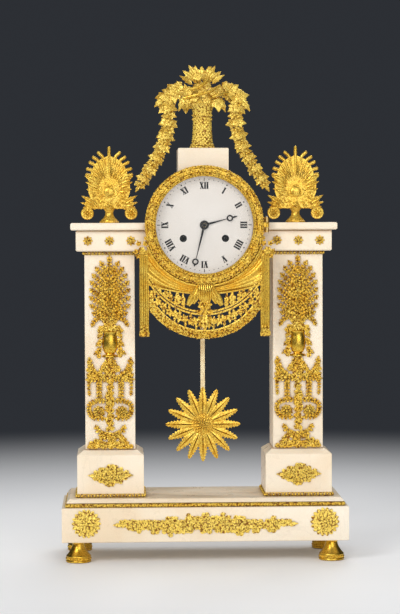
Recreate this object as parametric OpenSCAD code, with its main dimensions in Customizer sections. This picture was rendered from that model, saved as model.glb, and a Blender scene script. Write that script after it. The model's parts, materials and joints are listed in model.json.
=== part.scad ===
// Portico clock: two marble pillars carry a drum movement with a pierced drapery and a sunburst pendulum.
// Millimetres, +Z up. X runs left to right seen from the front, the front faces -Y.
// The origin is under the middle of the base, on the surface that the clock stands on.

/* [Base] */
// Width of the marble plinth
base_w = 300; // [290:1:330]
// Depth of the marble plinth
base_d = 112; // [108:1:130]
// Height of the marble plinth
base_h = 36; // [32:1:44]
// Height of the turned feet
foot_h = 22; // [16:1:30]
// Largest radius of the turned feet
foot_r = 13.5; // [10:0.5:15]
// How far the step stands in from the plinth on each side
step_inset = 5; // [3:0.5:8]
// Height of the step above the plinth
step_h = 8.6; // [7:0.2:12]
// Height of the gilt strip moulding round the step
moulding_h = 4; // [3:0.2:5]

/* [Pillars] */
// Distance from the middle of the clock to each pillar
pillar_x = 99; // [96:0.5:104]
// Width of the pedestals and of the capitals
pedestal_w = 70; // [66:0.5:72]
// Height of the pedestals
pedestal_h = 49.4; // [44:0.2:60]
// Width of the slope round the top of the pedestals
pedestal_bevel = 7; // [4:0.5:8]
// Height of that slope
pedestal_slope = 5; // [3:0.5:8]
// Width of the square shafts
shaft_w = 52.5; // [48:0.5:55]
// Height of the square shafts
shaft_h = 209; // [203:1:230]
// Height of the bead rows at the pedestals and under the capitals
bead_h = 4; // [3:0.2:5]
// How far the bead rows stand out
bead_out = 2.2; // [1.5:0.1:3]
// Height of the capitals
capital_h = 22; // [20:0.5:26]
// Height of the cornice slabs
cornice_h = 7.7; // [6:0.1:9]
// Overhang of the cornice slabs
cornice_over = 5.5; // [4:0.1:6.5]

/* [Drum] */
// Outer radius of the drum
drum_r = 57; // [56.5:0.1:58]
// Wall of the drum
drum_wall = 2; // [1.5:0.1:2.2]
// Length of the drum
drum_l = 92; // [91:0.5:96]
// Height of the dial's centre above the bottom of the capitals
dial_rise = 27.2; // [26:0.2:30]
// Outer radius of the bezel
bezel_r = 62; // [62:0.1:63]
// Radius of the dial that shows inside the bezel
dial_view_r = 50.7; // [49:0.1:51]
// Thickness of the enamelled dial
dial_t = 1.6; // [1:0.1:2]
// Thickness of the bezel ring
bezel_t = 9.2; // [8.6:0.1:9.6]
// Width and depth of the marble block on the drum
attic_w = 53; // [46:1:58]
// Height of the marble block above the top of the drum
attic_h = 23.8; // [20:0.2:30]

/* [Finials] */
// Height of the palmettes above the cornices
palmette_h = 81.3; // [76:0.1:90]
// Height of the woven basket
basket_h = 48; // [40:1:56]
// Radius of the basket at its foot
basket_r = 11.7; // [10:0.1:14]
// Height of the bouquet above the basket
bouquet_h = 43; // [36:1:48]
// Reach of the bouquet to each side
bouquet_r = 28; // [24:0.5:30]
// Thickness of the flower garlands
garland_t = 11; // [7:0.5:12]

/* [Pendulum] */
// Length from the suspension to the middle of the bob: half a second a beat
pendulum_l = 248.5; // [244:0.5:254]
// Radius of the sunburst bob
bob_r = 40; // [32:1:42]
// Width of the pendulum rod
rod_w = 4.6; // [3.6:0.1:5.4]
// Swing to each side in degrees
pendulum_swing = 4; // [2:0.5:4]

/* [Hands] */
// Length of the minute hand
minute_hand_l = 44.7; // [40:0.1:47]
// Length of the hour hand
hour_hand_l = 36; // [30:0.1:38]
// Clock angle of the minute hand
minute_angle = 194; // [0:1:359]
// Clock angle of the hour hand
hour_angle = 75; // [0:1:359]

/* [Ornament] */
// Thickness of the gilt mounts on the marble
mount_t = 2.5; // [1.5:0.1:3]
// Thickness of the pierced drapery
drapery_t = 3; // [2:0.1:3.5]

/* [Clearances] */
// Gap between curved pieces that only lie against each other
seat_gap = 0.3; // [0.25:0.05:0.5]
// Radial clearance of a shaft in its hole
run_gap = 0.05; // [0.03:0.01:0.08]
// Radial clearance round bolts, rods and studs
bolt_gap = 0.1; // [0.06:0.01:0.2]

/* [Hidden] */

// Colours
marble = "whitesmoke";
gilt = "gold";
brass = "goldenrod";
steel = "silver";
enamel = "snow";
black = "black";
clear = [0.8, 0.9, 0.95, 0.4];

// Smoothness of round faces and a small overlap that makes cuts and joins clean
$fn = 48;
eps = 0.01;
arris = 0.8;

// Heights from the ground up
plinth_z = foot_h;
step_z = plinth_z + base_h;
pedestal_z = step_z + step_h;
shaft_z = pedestal_z + pedestal_h;
capital_z = shaft_z + shaft_h;
cornice_z = capital_z + capital_h;
pillar_top = cornice_z + cornice_h;
dial_z = capital_z + dial_rise;
attic_top = dial_z + drum_r + attic_h;
basket_top = attic_top + basket_h;

// The plinth is set back by half its mounts' relief, so the clock is centred front to back
plinth_y = mount_t / 2;
plinth_front = plinth_y - base_d / 2;
step_w = base_w - 2 * step_inset;
step_d = base_d - 2 * step_inset;
moulding_out = 1.5;
moulding_in = 3;
step_bevel = 3;
foot_x = base_w / 2 - foot_r - 3.5;
foot_y = base_d / 2 - foot_r - 2.5;
foot_stud_r = 2.5;
foot_stud_l = 12;

// Pillars
pedestal_front = -pedestal_w / 2;
shaft_front = -shaft_w / 2;
capital_out = pillar_x + pedestal_w / 2;
capital_in = drum_r * 0.7;

// Fasteners
rod_r = 3;
nut_r = 6.5;
nut_h = 5;
nut_recess = 8;
palmette_seat = 5;
attic_nut_z = dial_z + drum_r - drum_wall - nut_h - 0.5;
bolt_r = 2.5;
bolt_y = 20;
bolt_drop = 16;
bolt_depth = 30;
bolt_head_r = 4;
bolt_head_h = 3;

// Drum, from front to back
drum_in = drum_r - drum_wall;
drum_front = -drum_l / 2;
drum_back = drum_l / 2;
flange_r = bezel_r - 0.5;
flange_t = 2;
rear_flange_r = drum_r + 1.5;
bezel_back = drum_front - seat_gap;
glass_t = 1.4;
glass_seat = 3.7;
glass_rise = 4.4;
glass_edge = 1;
dial_recess = 2;
dial_front = drum_front + dial_recess;
dial_back = dial_front + dial_t;
motion_room = 6.4;
plate_t = 2.5;
plate_front = dial_back + motion_room;
plate_in = plate_front + plate_t;
train_room = 34;
back_in = plate_in + train_room;
back_out = back_in + plate_t;
shelf_t = 2.5;
shelf_w = 4;
front_plate_r = drum_in - seat_gap;
back_plate_r = drum_in - 7;
door_t = 4;
door_in = drum_r - 9;
slot_w = 24;
slot_l = 13;

// Hinges of the bezel and of the rear door
knuckle_r = 2.5;
hinge_r = 1;
knuckle_h = 5;
hinge_gap = 0.4;
bezel_hinge_x = bezel_r + knuckle_r + hinge_gap;
bezel_hinge_y = drum_front - 2;
door_hinge_x = rear_flange_r + knuckle_r + hinge_gap;
door_hinge_y = drum_back + 2;

// Going train: 80/10, 72/12, 80/8 and 72/6 with 30 escape teeth give 7200 beats an hour
great_n = 80;
great_m = 0.5;
second_leaves = 10;
intermediate_n = 72;
intermediate_m = 0.45;
centre_leaves = 12;
centre_n = 80;
centre_m = 0.4;
third_leaves = 8;
third_n = 72;
third_m = 0.36;
escape_leaves = 6;
escape_n = 30;
escape_r = 9;

// Striking train: the count wheel turns once for 78 blows, the pin wheel once for 8
count_n = 78;
count_m = 0.32;
pin_leaves = 8;
pin_n = 56;
pin_m = 0.36;
pin_count = 8;
pin_circle = 8;
warning_leaves = 7;
warning_n = 48;
warning_m = 0.36;
fly_leaves = 6;

// Motion work: 12 into 36, 10 into 40
cannon_n = 12;
minute_n = 36;
motion_m = 0.5;
minute_leaves = 10;
hour_n = 40;

// Tooth shape, in modules and in shares of the pitch
wheel_thick = 0.36;
leaf_thick = 0.3;
tooth_add = 0.95;
tooth_ded = 1.3;

function gear_r(n, m) = n * m / 2;
function meshed(n1, n2, m) = (n1 + n2) * m / 2;
motion_distance = meshed(cannon_n, minute_n, motion_m);
hour_m = 2 * motion_distance / (minute_leaves + hour_n);

// Arbors: x and height from the dial's centre
barrel_x = 22;
barrel_drop = 14;
barrel_r = 18.5;
escape_up = 21.6;
pallet_up = 35.1;
going_pos = [barrel_x, -barrel_drop];
strike_pos = [-barrel_x, -barrel_drop];
centre_pos = [0, 0];
escape_pos = [0, escape_up];
anchor_pos = [0, pallet_up];
minute_pos = [0, motion_distance];
hammer_pos = [-36.5, 20];
bell_post_pos = [37, -4];

// Point at distance ra from a and rb from b, to the left of the way from a to b
function meet(a, ra, b, rb) =
  let (d = norm(b - a), u = (b - a) / d, s = (ra * ra - rb * rb + d * d) / (2 * d))
  a + s * u + sqrt(ra * ra - s * s) * [-u[1], u[0]];
function bearing(a, b) = atan2(b[1] - a[1], b[0] - a[0]);

intermediate_pos = meet(centre_pos, meshed(intermediate_n, centre_leaves, intermediate_m),
  going_pos, meshed(great_n, second_leaves, great_m));
third_pos = meet(centre_pos, meshed(centre_n, third_leaves, centre_m),
  escape_pos, meshed(third_n, escape_leaves, third_m));
count_lean = 100;
count_pos = strike_pos + meshed(great_n, second_leaves, great_m) * [cos(count_lean), sin(count_lean)];
pin_lean = 80;
pin_pos = count_pos + meshed(count_n, pin_leaves, count_m) * [cos(pin_lean), sin(pin_lean)];
warning_lean = 40;
warning_pos = pin_pos + meshed(pin_n, warning_leaves, pin_m) * [cos(warning_lean), sin(warning_lean)];
fly_lean = 60;
fly_pos = warning_pos + meshed(warning_n, fly_leaves, warning_m) * [cos(fly_lean), sin(fly_lean)];
pillar_places = [[0, -42], [43, 8], [-43, 8], [22, 36], [-27, 36]];
train_arbors = [intermediate_pos, third_pos, escape_pos, count_pos, pin_pos, warning_pos, fly_pos];

// Arbor sizes
arbor_r = 1;
pivot_r = 0.8;
centre_arbor_r = 1.5;
barrel_arbor_r = 3;
end_shake = 0.2;
pillar_r = 2.4;
pillar_stud_r = 1.6;
minute_post_r = 1;
hour_pipe_r = 3;
cannon_pipe_r = 2;

// Pendulum
suspension_z = dial_z + pallet_up;
bob_z = suspension_z - pendulum_l;
pendulum_y = 13;
rod_t = 1.6;
rod_back = pendulum_y + rod_t / 2;
rod_front = pendulum_y - rod_t / 2;
stud_r = 1.2;
eye_r = 3.2;
bob_t = 2.4;
bob_rays = 16;

// Bell
bell_r = 32;
bell_y = 19;
bell_l = 22;
bell_wall = 2;

// Drapery, hung under the bezel
drapery_in = bezel_r + 1.2;
drapery_back = drum_front;
drapery_front = drapery_back - drapery_t;
swag_r = 70;
swag_drop = 48.3;
tail_x = 62.8;
tail_w = 11;

// Outline helpers
function leaf_width(t) = sin(180 * pow(t, 0.7));
function leaf_points(len, w, n = 6) = concat(
  [for (i = [0:n]) let (t = i / n) [w / 2 * leaf_width(t), len * t]],
  [for (i = [n - 1:-1:1]) let (t = i / n) [-w / 2 * leaf_width(t), len * t]]);
function edge_points(w, h, top, bottom, slope) = [
  [-w / 2 + bottom, 0], [w / 2 - bottom, 0], [w / 2, bottom], [w / 2, h - slope],
  [w / 2 - top, h], [-w / 2 + top, h], [-w / 2, h - slope], [-w / 2, bottom]];
function gear_points(n, m, thick) = let (
    r = gear_r(n, m), pitch = 360 / n,
    radii = [r - tooth_ded * m, r, r + tooth_add * m, r + tooth_add * m, r, r - tooth_ded * m],
    shares = [-0.5, -0.5, -0.2, 0.2, 0.5, 0.5] * thick)
  [for (i = [0:n - 1], k = [0:5]) radii[k] * [cos((i + shares[k]) * pitch), sin((i + shares[k]) * pitch)]];

// Flat leaf that points up
module leaf(len, w) {
  polygon(leaf_points(len, w));
}

// Flower of n petals round a middle
module rosette(r, n) {
  for (k = [0:n - 1])
    rotate(360 / n * k) leaf(r, 5.4 * r / n);
  circle(0.45 * r);
}

// Block with bevelled top and bottom edges on all four sides; slope is the height of the top bevel
module bevelled_block(w, d, h, top, bottom, slope) {
  fall = is_undef(slope) ? top : slope;
  intersection() {
    rotate([90, 0, 90]) linear_extrude(w, center = true) polygon(edge_points(d, h, top, bottom, fall));
    rotate([90, 0, 0]) linear_extrude(d, center = true) polygon(edge_points(w, h, top, bottom, fall));
  }
}

// Bevelled square frame round something w by d
module strip_frame(w, d, h, out) {
  difference() {
    bevelled_block(w + 2 * out, d + 2 * out, h, 0.4 * h, 0.3 * h);
    translate([-w / 2, -d / 2, -eps]) cube([w, d, h + 2 * eps]);
  }
}

// Flat outline as a plate that stands out forward from y, t thick
module on_front(y, t) {
  translate([0, y, 0]) rotate([90, 0, 0]) linear_extrude(t) children();
}

// Flat outline as a plate from y0 to y1 at a place on the dial's plan
module slab(pos, y0, y1) {
  translate([pos[0], y1, dial_z + pos[1]]) rotate([90, 0, 0]) linear_extrude(y1 - y0) children();
}

// Round bar along the drum's axis
module bar(pos, y0, y1, r) {
  slab(pos, y0, y1) circle(r);
}

// Turned ring on the dial's axis: points are radius and distance forward from y
module turned_forward(y, points) {
  translate([0, y, dial_z]) rotate([90, 0, 0]) rotate_extrude($fn = 96) polygon(points);
}

// Copy on the left and on the right
module both_sides() {
  for (side = [-1, 1])
    translate([side * pillar_x, 0, 0]) children();
}

// Mirrored copy of a half outline
module both_halves() {
  children();
  mirror([1, 0]) children();
}

// Toothed wheel outline with crossings
module wheel(n, m, phase, spokes) {
  r = gear_r(n, m);
  rim = r - tooth_ded * m - 1.4;
  hub = 2.6;
  difference() {
    rotate(phase) polygon(gear_points(n, m, wheel_thick));
    if (rim > hub + 2)
      difference() {
        circle(rim);
        circle(hub);
        for (k = [0:spokes - 1])
          rotate(360 / spokes * k) translate([0, -0.7]) square([rim + 1, 1.4]);
      }
  }
}

// Pinion outline whose gap faces a wheel; the bearing runs from the wheel to the pinion
module pinion(n, m, towards) {
  rotate(towards + 180 + 180 / n) polygon(gear_points(n, m, leaf_thick));
}

// Train arbor with a pivot in each plate; the pinion itself fills the stretch from p0 to p1
module train_arbor(pos, p0, p1) {
  bar(pos, plate_front + end_shake, plate_in + end_shake + eps, pivot_r);
  bar(pos, plate_in + end_shake, plate_in + p0 + eps, arbor_r);
  bar(pos, plate_in + p1 - eps, back_in - end_shake, arbor_r);
  bar(pos, back_in - end_shake - eps, back_out - end_shake, pivot_r);
}

// Train pinion that fills the same stretch of its arbor
module train_pinion(pos, p0, p1, n, m, mate) {
  train_arbor(pos, p0, p1);
  slab(pos, plate_in + p0, plate_in + p1) pinion(n, m, bearing(mate, pos));
}

// Marble

module base_plinth() {
  color(marble) difference() {
    translate([0, plinth_y, plinth_z]) bevelled_block(base_w, base_d, base_h, arris, arris);
    for (x = [-foot_x, foot_x], y = [-foot_y, foot_y])
      translate([x, plinth_y + y, plinth_z - eps])
        cylinder(h = foot_stud_l + 1, r = foot_stud_r + bolt_gap);
    both_sides() {
      translate([0, 0, plinth_z - eps]) cylinder(h = base_h + 1, r = rod_r + bolt_gap);
      translate([0, 0, plinth_z - eps]) cylinder(h = nut_recess, r = nut_r + 1.5);
    }
  }
}

module base_step() {
  color(marble) difference() {
    translate([0, plinth_y, step_z]) union() {
      translate([0, 0, moulding_h])
        bevelled_block(step_w, step_d, step_h - moulding_h, step_bevel, arris);
      translate([moulding_in - step_w / 2, moulding_in - step_d / 2, 0])
        cube([step_w - 2 * moulding_in, step_d - 2 * moulding_in, moulding_h + 1]);
    }
    both_sides() translate([0, 0, step_z - eps]) cylinder(h = step_h + 1, r = rod_r + bolt_gap);
  }
}

module pedestal(side) {
  color(marble) difference() {
    translate([side * pillar_x, 0, pedestal_z])
      bevelled_block(pedestal_w, pedestal_w, pedestal_h, pedestal_bevel, arris, pedestal_slope);
    translate([side * pillar_x, 0, pedestal_z - eps])
      cylinder(h = pedestal_h + 1, r = rod_r + bolt_gap);
  }
}

module shaft(side) {
  color(marble) difference() {
    translate([side * pillar_x, 0, shaft_z]) bevelled_block(shaft_w, shaft_w, shaft_h, arris, arris);
    translate([side * pillar_x, 0, shaft_z - eps]) cylinder(h = shaft_h + 1, r = rod_r + bolt_gap);
  }
}

// Marble slab that reaches from the drum to the outside of a pillar, hollowed to the drum
module drum_side_slab(side, over, z, h) {
  out = capital_out + over;
  difference() {
    translate([side * (capital_in + out) / 2, 0, z])
      bevelled_block(out - capital_in, pedestal_w + 2 * over, h, 1.2, 1.2);
    bar(centre_pos, -drum_l, drum_l, drum_r + seat_gap);
    translate([side * pillar_x, 0, z - eps]) cylinder(h = h + 1, r = rod_r + bolt_gap);
  }
}

module capital(side) {
  color(marble) difference() {
    drum_side_slab(side, 0, capital_z, capital_h);
    for (y = [-bolt_y, bolt_y])
      translate([0, y, dial_z - bolt_drop]) rotate([0, side * 90, 0])
        cylinder(h = drum_r + bolt_depth, r = bolt_r + bolt_gap);
  }
}

module cornices() {
  color(marble)
    for (side = [-1, 1])
      drum_side_slab(side, cornice_over, cornice_z, cornice_h);
}

module attic_block() {
  color(marble) difference() {
    translate([0, 0, dial_z + drum_r / 2])
      bevelled_block(attic_w, attic_w, attic_top - dial_z - drum_r / 2, arris, arris);
    bar(centre_pos, -drum_l, drum_l, drum_r + seat_gap);
    translate([0, 0, dial_z]) cylinder(h = attic_top, r = rod_r + bolt_gap);
  }
}

// Gilt mounts

module feet() {
  color(gilt)
    for (x = [-foot_x, foot_x], y = [-foot_y, foot_y])
      translate([x, plinth_y + y, 0]) {
        rotate_extrude() polygon([for (p = [
          [0, 0], [0.93, 0], [1, 0.07], [1, 0.17], [0.95, 0.24], [0.97, 0.3], [0.95, 0.36], [0.82, 0.43],
          [0.6, 0.58], [0.42, 0.78], [0.36, 0.9], [0.46, 0.95], [0.46, 1], [0, 1]])
          [p[0] * foot_r, p[1] * foot_h]]);
        translate([0, 0, foot_h - eps]) cylinder(h = foot_stud_l, r = foot_stud_r);
      }
}

module step_moulding() {
  color(gilt) translate([0, plinth_y, step_z])
    strip_frame(step_w - 2 * moulding_in, step_d - 2 * moulding_in, moulding_h, moulding_in + moulding_out);
}

// Long spray of leaves and flowers on the plinth
module base_garland() {
  half = 97;
  mid_z = plinth_z + base_h / 2;
  color(gilt) on_front(plinth_front, mount_t) translate([0, mid_z]) {
    rosette(10, 8);
    both_halves() {
      translate([4, -1]) square([half - 30, 2.4]);
      for (k = [0:6])
        translate([10 + 12 * k, 0]) {
          rotate(-42) leaf(14 - k * 0.8, 7.5 - k * 0.4);
          rotate(-138) leaf(14 - k * 0.8, 7.5 - k * 0.4);
        }
      for (k = [0:4])
        translate([19 + 13 * k, 1.5 * cos(180 * k)]) circle(4.6 - 0.4 * k, $fn = 24);
      translate([68, 0]) rotate(-90) leaf(half - 68, 8);
    }
  }
}

module base_rosettes() {
  color(gilt) for (x = [-124.5, 124.5] * base_w / 300)
    translate([x, 0, plinth_z + base_h / 2 + 2]) {
      on_front(plinth_front, mount_t) rosette(14.5, 12);
      on_front(plinth_front, 0.6 * mount_t) difference() {
        circle(12.4);
        circle(6);
      }
    }
}

module pedestal_beadings() {
  color(gilt) both_sides() translate([0, 0, pedestal_z])
    strip_frame(pedestal_w, pedestal_w, bead_h, bead_out);
}

// Lozenge of leaves round a flower, a little above the middle of the pedestal's face
pedestal_mount_rise = 1;

module pedestal_mounts() {
  color(gilt) both_sides() translate([0, 0, pedestal_z + (pedestal_h - pedestal_slope) / 2 + pedestal_mount_rise])
    on_front(pedestal_front, mount_t) {
      rosette(7, 8);
      both_halves() {
        for (k = [0:2])
          translate([3 + 4.5 * k, 0]) {
            rotate(-24 - 12 * k) leaf(10.5 - 1.6 * k, 5);
            rotate(-156 + 12 * k) leaf(10.5 - 1.6 * k, 5);
          }
        rotate(-90) leaf(22.5, 6);
      }
    }
}

// Arabesque of the shafts: foot scrolls, rings, trestle, vase and a spray of leaves
module arabesque() {
  translate([-1, 12]) square([2, 176]);
  both_halves() {
    rotate(-62) leaf(27, 8);
    translate([4, 2]) rotate(-90) leaf(20, 6);
    translate([0, 8]) rotate(-35) leaf(18, 6);
    for (z = [24, 36])
      translate([11, z]) difference() {
        circle(6.4 - 0.1 * (z - 24));
        circle(3.2);
      }
    translate([4.6, 24]) square([2, 40]);
    translate([14, 44]) square([1.8, 20]);
    translate([0, 62]) square([23, 3]);
    translate([10, 64]) rotate(-58) leaf(15, 5);
    translate([5, 66]) rotate(-30) leaf(20, 6);
    translate([3, 92]) rotate(-40) leaf(18, 5);
    translate([7, 118]) rotate(-130) leaf(16, 6);
    for (k = [0:5])
      translate([0, 122 + 9.5 * k]) rotate(-66 + 6 * k) leaf(19 - 1.1 * k, 7.5);
    for (k = [0:2])
      translate([0, 128 + 14 * k]) rotate(-28) leaf(19 - k, 7);
  }
  translate([0, 30]) rotate(45) square(7, center = true);
  translate([0, 86]) square([17, 2.4], center = true);
  translate([0, 100]) circle(9.5);
  translate([0, 112]) square([13, 4], center = true);
  translate([0, 172]) leaf(26, 10);
}

// Height of the arabesques above the foot of the shafts
mount_foot = 3;

module shaft_mounts() {
  color(gilt) both_sides() translate([0, 0, shaft_z + mount_foot])
    on_front(shaft_front, mount_t) arabesque();
}

module capital_beadings() {
  color(gilt) both_sides() translate([0, 0, capital_z - bead_h])
    strip_frame(shaft_w, shaft_w, bead_h, bead_out);
}

module capital_rosettes() {
  color(gilt) both_sides() for (x = [-22.5, 0, 22.5])
    translate([x, 0, capital_z + capital_h / 2])
      on_front(pedestal_front, mount_t) rosette(5.2, 8);
}

// Palmette on a turned foot: eleven rays over a web, corner leaves and two discs
fan_r = 44.6;
fan_rays = [[0, 1], [16.6, 0.92], [27, 0.87], [36.5, 0.8], [48, 0.73], [59, 0.665]];
fan_web = 0.78;
ray_w = 3.8;
disc_x = 23.2;
disc_r = 6.8;

function on_fan(ray, share) = share * ray[1] * fan_r * [sin(ray[0]), cos(ray[0])];

module palmette(side) {
  fan_z = palmette_h - fan_r;
  bar_z = fan_z - 21.4;
  bar_h = 5;
  half_w = 24;
  color(gilt) translate([side * pillar_x, 0, pillar_top]) difference() {
    union() {
      rotate_extrude() polygon([
        [0, 0], [10.5, 0], [10.5, 2.2], [8.6, 3.6], [6, 6.5], [4.1, 8.6], [4.1, 12], [5.6, 14], [5.6, bar_z + 1],
        [0, bar_z + 1]]);
      on_front(2.5, 5) {
        translate([0, fan_z]) both_halves() {
          for (ray = fan_rays)
            rotate(-ray[0]) {
              reach = ray[1] * fan_r - ray_w / 2;
              polygon([[-1.4, 6], [1.4, 6], [ray_w / 2, reach], [-ray_w / 2, reach]]);
              translate([0, reach]) circle(ray_w / 2);
            }
          polygon(concat(
            [[0, 0]], [for (ray = fan_rays) on_fan(ray, fan_web)],
            [[half_w - 1, 4], [half_w, -5], [half_w - 3, -12], [half_w + 2, bar_z - fan_z], [0, bar_z - fan_z]]));
        }
        both_halves() {
          translate([0, bar_z]) square([half_w + 2, bar_h]);
          translate([18, bar_z + 2]) rotate(-62) leaf(14, 6);
          translate([17, bar_z + 5]) rotate(-44) leaf(16, 6);
          translate([disc_x - 2, disc_r + 4]) square([4, bar_z - disc_r - 3]);
        }
      }
      on_front(3, 6) both_halves() translate([disc_x, disc_r + 3.5]) circle(disc_r);
      on_front(3.6, 7.2) translate([0, fan_z]) circle(6.3);
    }
    translate([0, 0, -eps]) cylinder(h = palmette_seat + seat_gap, r = rod_r + bolt_gap);
  }
}

// Waisted basket, turned, with its binding rings
module flower_basket() {
  color(gilt) translate([0, 0, attic_top]) difference() {
    rotate_extrude() polygon([
      [0, 0], [basket_r, 0], [basket_r, 2.4], [basket_r - 0.8, 3], [basket_r - 0.8, 4.4],
      [basket_r - 1.6, 8], [basket_r - 2.5, 20], [basket_r - 2.6, 31], [basket_r - 1.8, 32],
      [basket_r - 1.8, 33.4], [basket_r - 2.6, 34], [basket_r - 2.6, 35.4], [basket_r - 1.8, 36],
      [basket_r - 1.8, 37.4], [basket_r - 2.4, 38], [basket_r + 0.5, basket_h - 3],
      [basket_r + 2.3, basket_h], [0, basket_h]]);
    translate([0, 0, -eps]) cylinder(h = palmette_seat + seat_gap, r = rod_r + bolt_gap);
  }
}

// Ball used for flowers and leaf ends
module ball(p, r) {
  translate(p) sphere(r, $fn = 10);
}

// Leaf as a rounded blade from a to b
module blade(a, b, r) {
  hull() {
    ball(a, r);
    ball((a + b) / 2, 1.25 * r);
    ball(b, 0.45 * r);
  }
}

// Height of the flowers at the sides of the bouquet, where the garlands begin
side_flower_z = 19;

// Bouquet: a mound of flowers under a fan of leaves, with leaves that droop over the basket
module bouquet() {
  flower = 7;
  wave = 3;
  fan = bouquet_h - 17.5;
  fan_z = bouquet_h - 25;
  color(gilt) translate([0, 0, basket_top]) {
    hull() {
      cylinder(h = 0.8, r = basket_r, $fn = 20);
      translate([0, 0, 12]) scale([1, 0.75, 0.5]) sphere(bouquet_r - flower, $fn = 20);
    }
    for (a = [0:45:315])
      ball([(bouquet_r - flower) * cos(a), 14 * sin(a), side_flower_z - wave + wave * cos(4 * a)], flower);
    for (spray = [[-62, 1.12], [-31, 1], [-8, 0.88], [26, 0.9], [61, 0.94]]) {
      way = fan * [sin(spray[0]), 0, cos(spray[0])];
      blade([0, 0, fan_z] + 0.3 * way, [0, 0, fan_z] + spray[1] * way, 3);
    }
    for (y = [-6, 0, 6])
      ball([-2, y, fan_z + 8.3], 8.5);
    for (side = [-1, 1], front = [-1, 1]) {
      ball([side * 9, front * 9, 20], 6.5);
      blade([side * 15, front * 9, 6], [side * 22, front * 12, -15], 4.4);
    }
  }
}

// Way of a garland from the bouquet down beside the drum: shares of the reach and of the fall
garland_reach = 70;
garland_top = basket_top + 20;
garland_start = [bouquet_r + garland_t * 0.56 + seat_gap, 0, basket_top + side_flower_z];
garland_end = dial_z + 36;
garland_way = [[0, 0], [0.56, 0.93], [0.545, 0.85], [0.52, 0.74], [0.5, 0.58], [0.545, 0.44], [0.63, 0.355],
  [0.72, 0.28], [0.86, 0.14], [0.985, 0.015]];
function garland_point(k) = k == 0 ? garland_start : [
  garland_way[k][0] * garland_reach, 0,
  garland_end + garland_way[k][1] * (garland_top - garland_end)];

// Rope of flowers that swells and narrows, with leaves to both sides
module garland() {
  last = len(garland_way) - 1;
  function girth(k) = garland_t / 2 * (1 + 0.12 * cos(180 * k)) * (1 - 0.4 * k / last);
  for (k = [0:last - 1]) {
    a = garland_point(k);
    b = garland_point(k + 1);
    hull() {
      ball(a, girth(k));
      ball(b, girth(k + 1));
    }
    turn = 70 * k;
    mid = (a + b) / 2;
    size = 1.7 * girth(k);
    if (k > 1)
      blade(mid, mid + size * [0.8 * cos(turn), -0.6, -0.5 - 0.3 * sin(turn)], 0.45 * girth(k));
    if (k > 1)
      blade(mid, mid + size * [-0.85 * cos(turn), 0.5, -0.6], 0.45 * girth(k));
  }
  tip = garland_point(2);
  blade(tip, tip + garland_t * [0.85, 0, -1.2], 0.24 * garland_t);
}

module garlands() {
  color(gilt) {
    garland();
    mirror([1, 0, 0]) garland();
  }
}

// Flat outline of the drapery below the bezel, measured from the dial's centre
module drapery_outline() {
  difference() {
    intersection() {
      translate([0, -swag_drop]) circle(swag_r, $fn = 96);
      translate([-tail_x, -swag_drop - swag_r - 1]) square([2 * tail_x, swag_drop + swag_r - 29]);
    }
    circle(drapery_in, $fn = 96);
    drapery_piercing();
  }
  both_halves() {
    translate([tail_x - tail_w / 2, -90]) square([tail_w, 58]);
    polygon([
      [tail_x - 0.5 * tail_w, -88], [tail_x + 0.5 * tail_w, -88], [tail_x + 0.35 * tail_w, -104],
      [tail_x + 0.2 * tail_w, -107], [tail_x + 0.4 * tail_w, -114], [tail_x - 0.4 * tail_w, -114],
      [tail_x - 0.2 * tail_w, -107], [tail_x - 0.4 * tail_w, -104]]);
    translate([tail_x + 3, -26]) circle(6.2);
  }
  translate([0, -89]) rosette(10, 10);
}

// Two rows of openings between the upper cloth, the middle rib and the rim
module drapery_piercing() {
  rib_r = 66.2;
  rib_drop = 27.2;
  rib_w = 4;
  difference() {
    translate([0, -swag_drop]) circle(swag_r - 10.5, $fn = 96);
    translate([0, -rib_drop]) circle(rib_r, $fn = 96);
    drapery_bars(5.2);
  }
  difference() {
    translate([0, -rib_drop]) circle(rib_r - rib_w, $fn = 96);
    translate([0, 46]) circle(118, $fn = 96);
    drapery_bars(-5.2);
  }
}

// Slanting bars that cross the openings
module drapery_bars(lean) {
  for (k = [-5:5])
    translate([11 * k, -100]) rotate(lean * k) translate([-1.6, -20]) square([3.2, 60]);
  translate([-9, -120]) square([18, 60]);
  both_halves() translate([52, -130]) square([20, 130]);
}

module drapery() {
  lip_t = 2;
  lip_back = drum_front + flange_t + lip_t;
  color(gilt) {
    slab(centre_pos, drapery_front, drapery_back) drapery_outline();
    slab(centre_pos, drapery_front - 1.2, drapery_back) intersection() {
      difference() {
        translate([0, -swag_drop]) circle(swag_r, $fn = 96);
        translate([0, -swag_drop]) circle(swag_r - 8, $fn = 96);
      }
      translate([-57, -swag_drop - swag_r - 1]) square([114, 31]);
    }
    intersection() {
      union() {
        slab(centre_pos, drum_front + flange_t, lip_back) difference() {
          circle(drapery_in + 2, $fn = 96);
          circle(drum_r + seat_gap, $fn = 96);
        }
        slab(centre_pos, drapery_back - eps, lip_back) difference() {
          circle(drapery_in + 2, $fn = 96);
          circle(drapery_in, $fn = 96);
        }
      }
      translate([-50, -drum_l, dial_z - 2 * drum_r]) cube([100, 2 * drum_l, 2 * drum_r - 36]);
    }
  }
}

// Drum, dial and doors

// Hinge barrel along Z with its bore, between two heights from the dial's centre
module knuckle(x, y, z0, z1) {
  difference() {
    translate([x, y, dial_z + z0]) cylinder(h = z1 - z0, r = knuckle_r);
    translate([x, y, dial_z + z0 - 1]) cylinder(h = z1 - z0 + 2, r = hinge_r + run_gap);
  }
}

// Two fixed knuckles with their leaves, above and below the moving one
module fixed_knuckles(x, y, leaf_y) {
  for (z0 = [knuckle_h / 2 + hinge_gap, -1.5 * knuckle_h - hinge_gap]) {
    knuckle(x, y, z0, z0 + knuckle_h);
    translate([x - knuckle_r - 3, leaf_y, dial_z + z0])
      cube([knuckle_r + 3.5, flange_t, knuckle_h]);
  }
}

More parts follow.
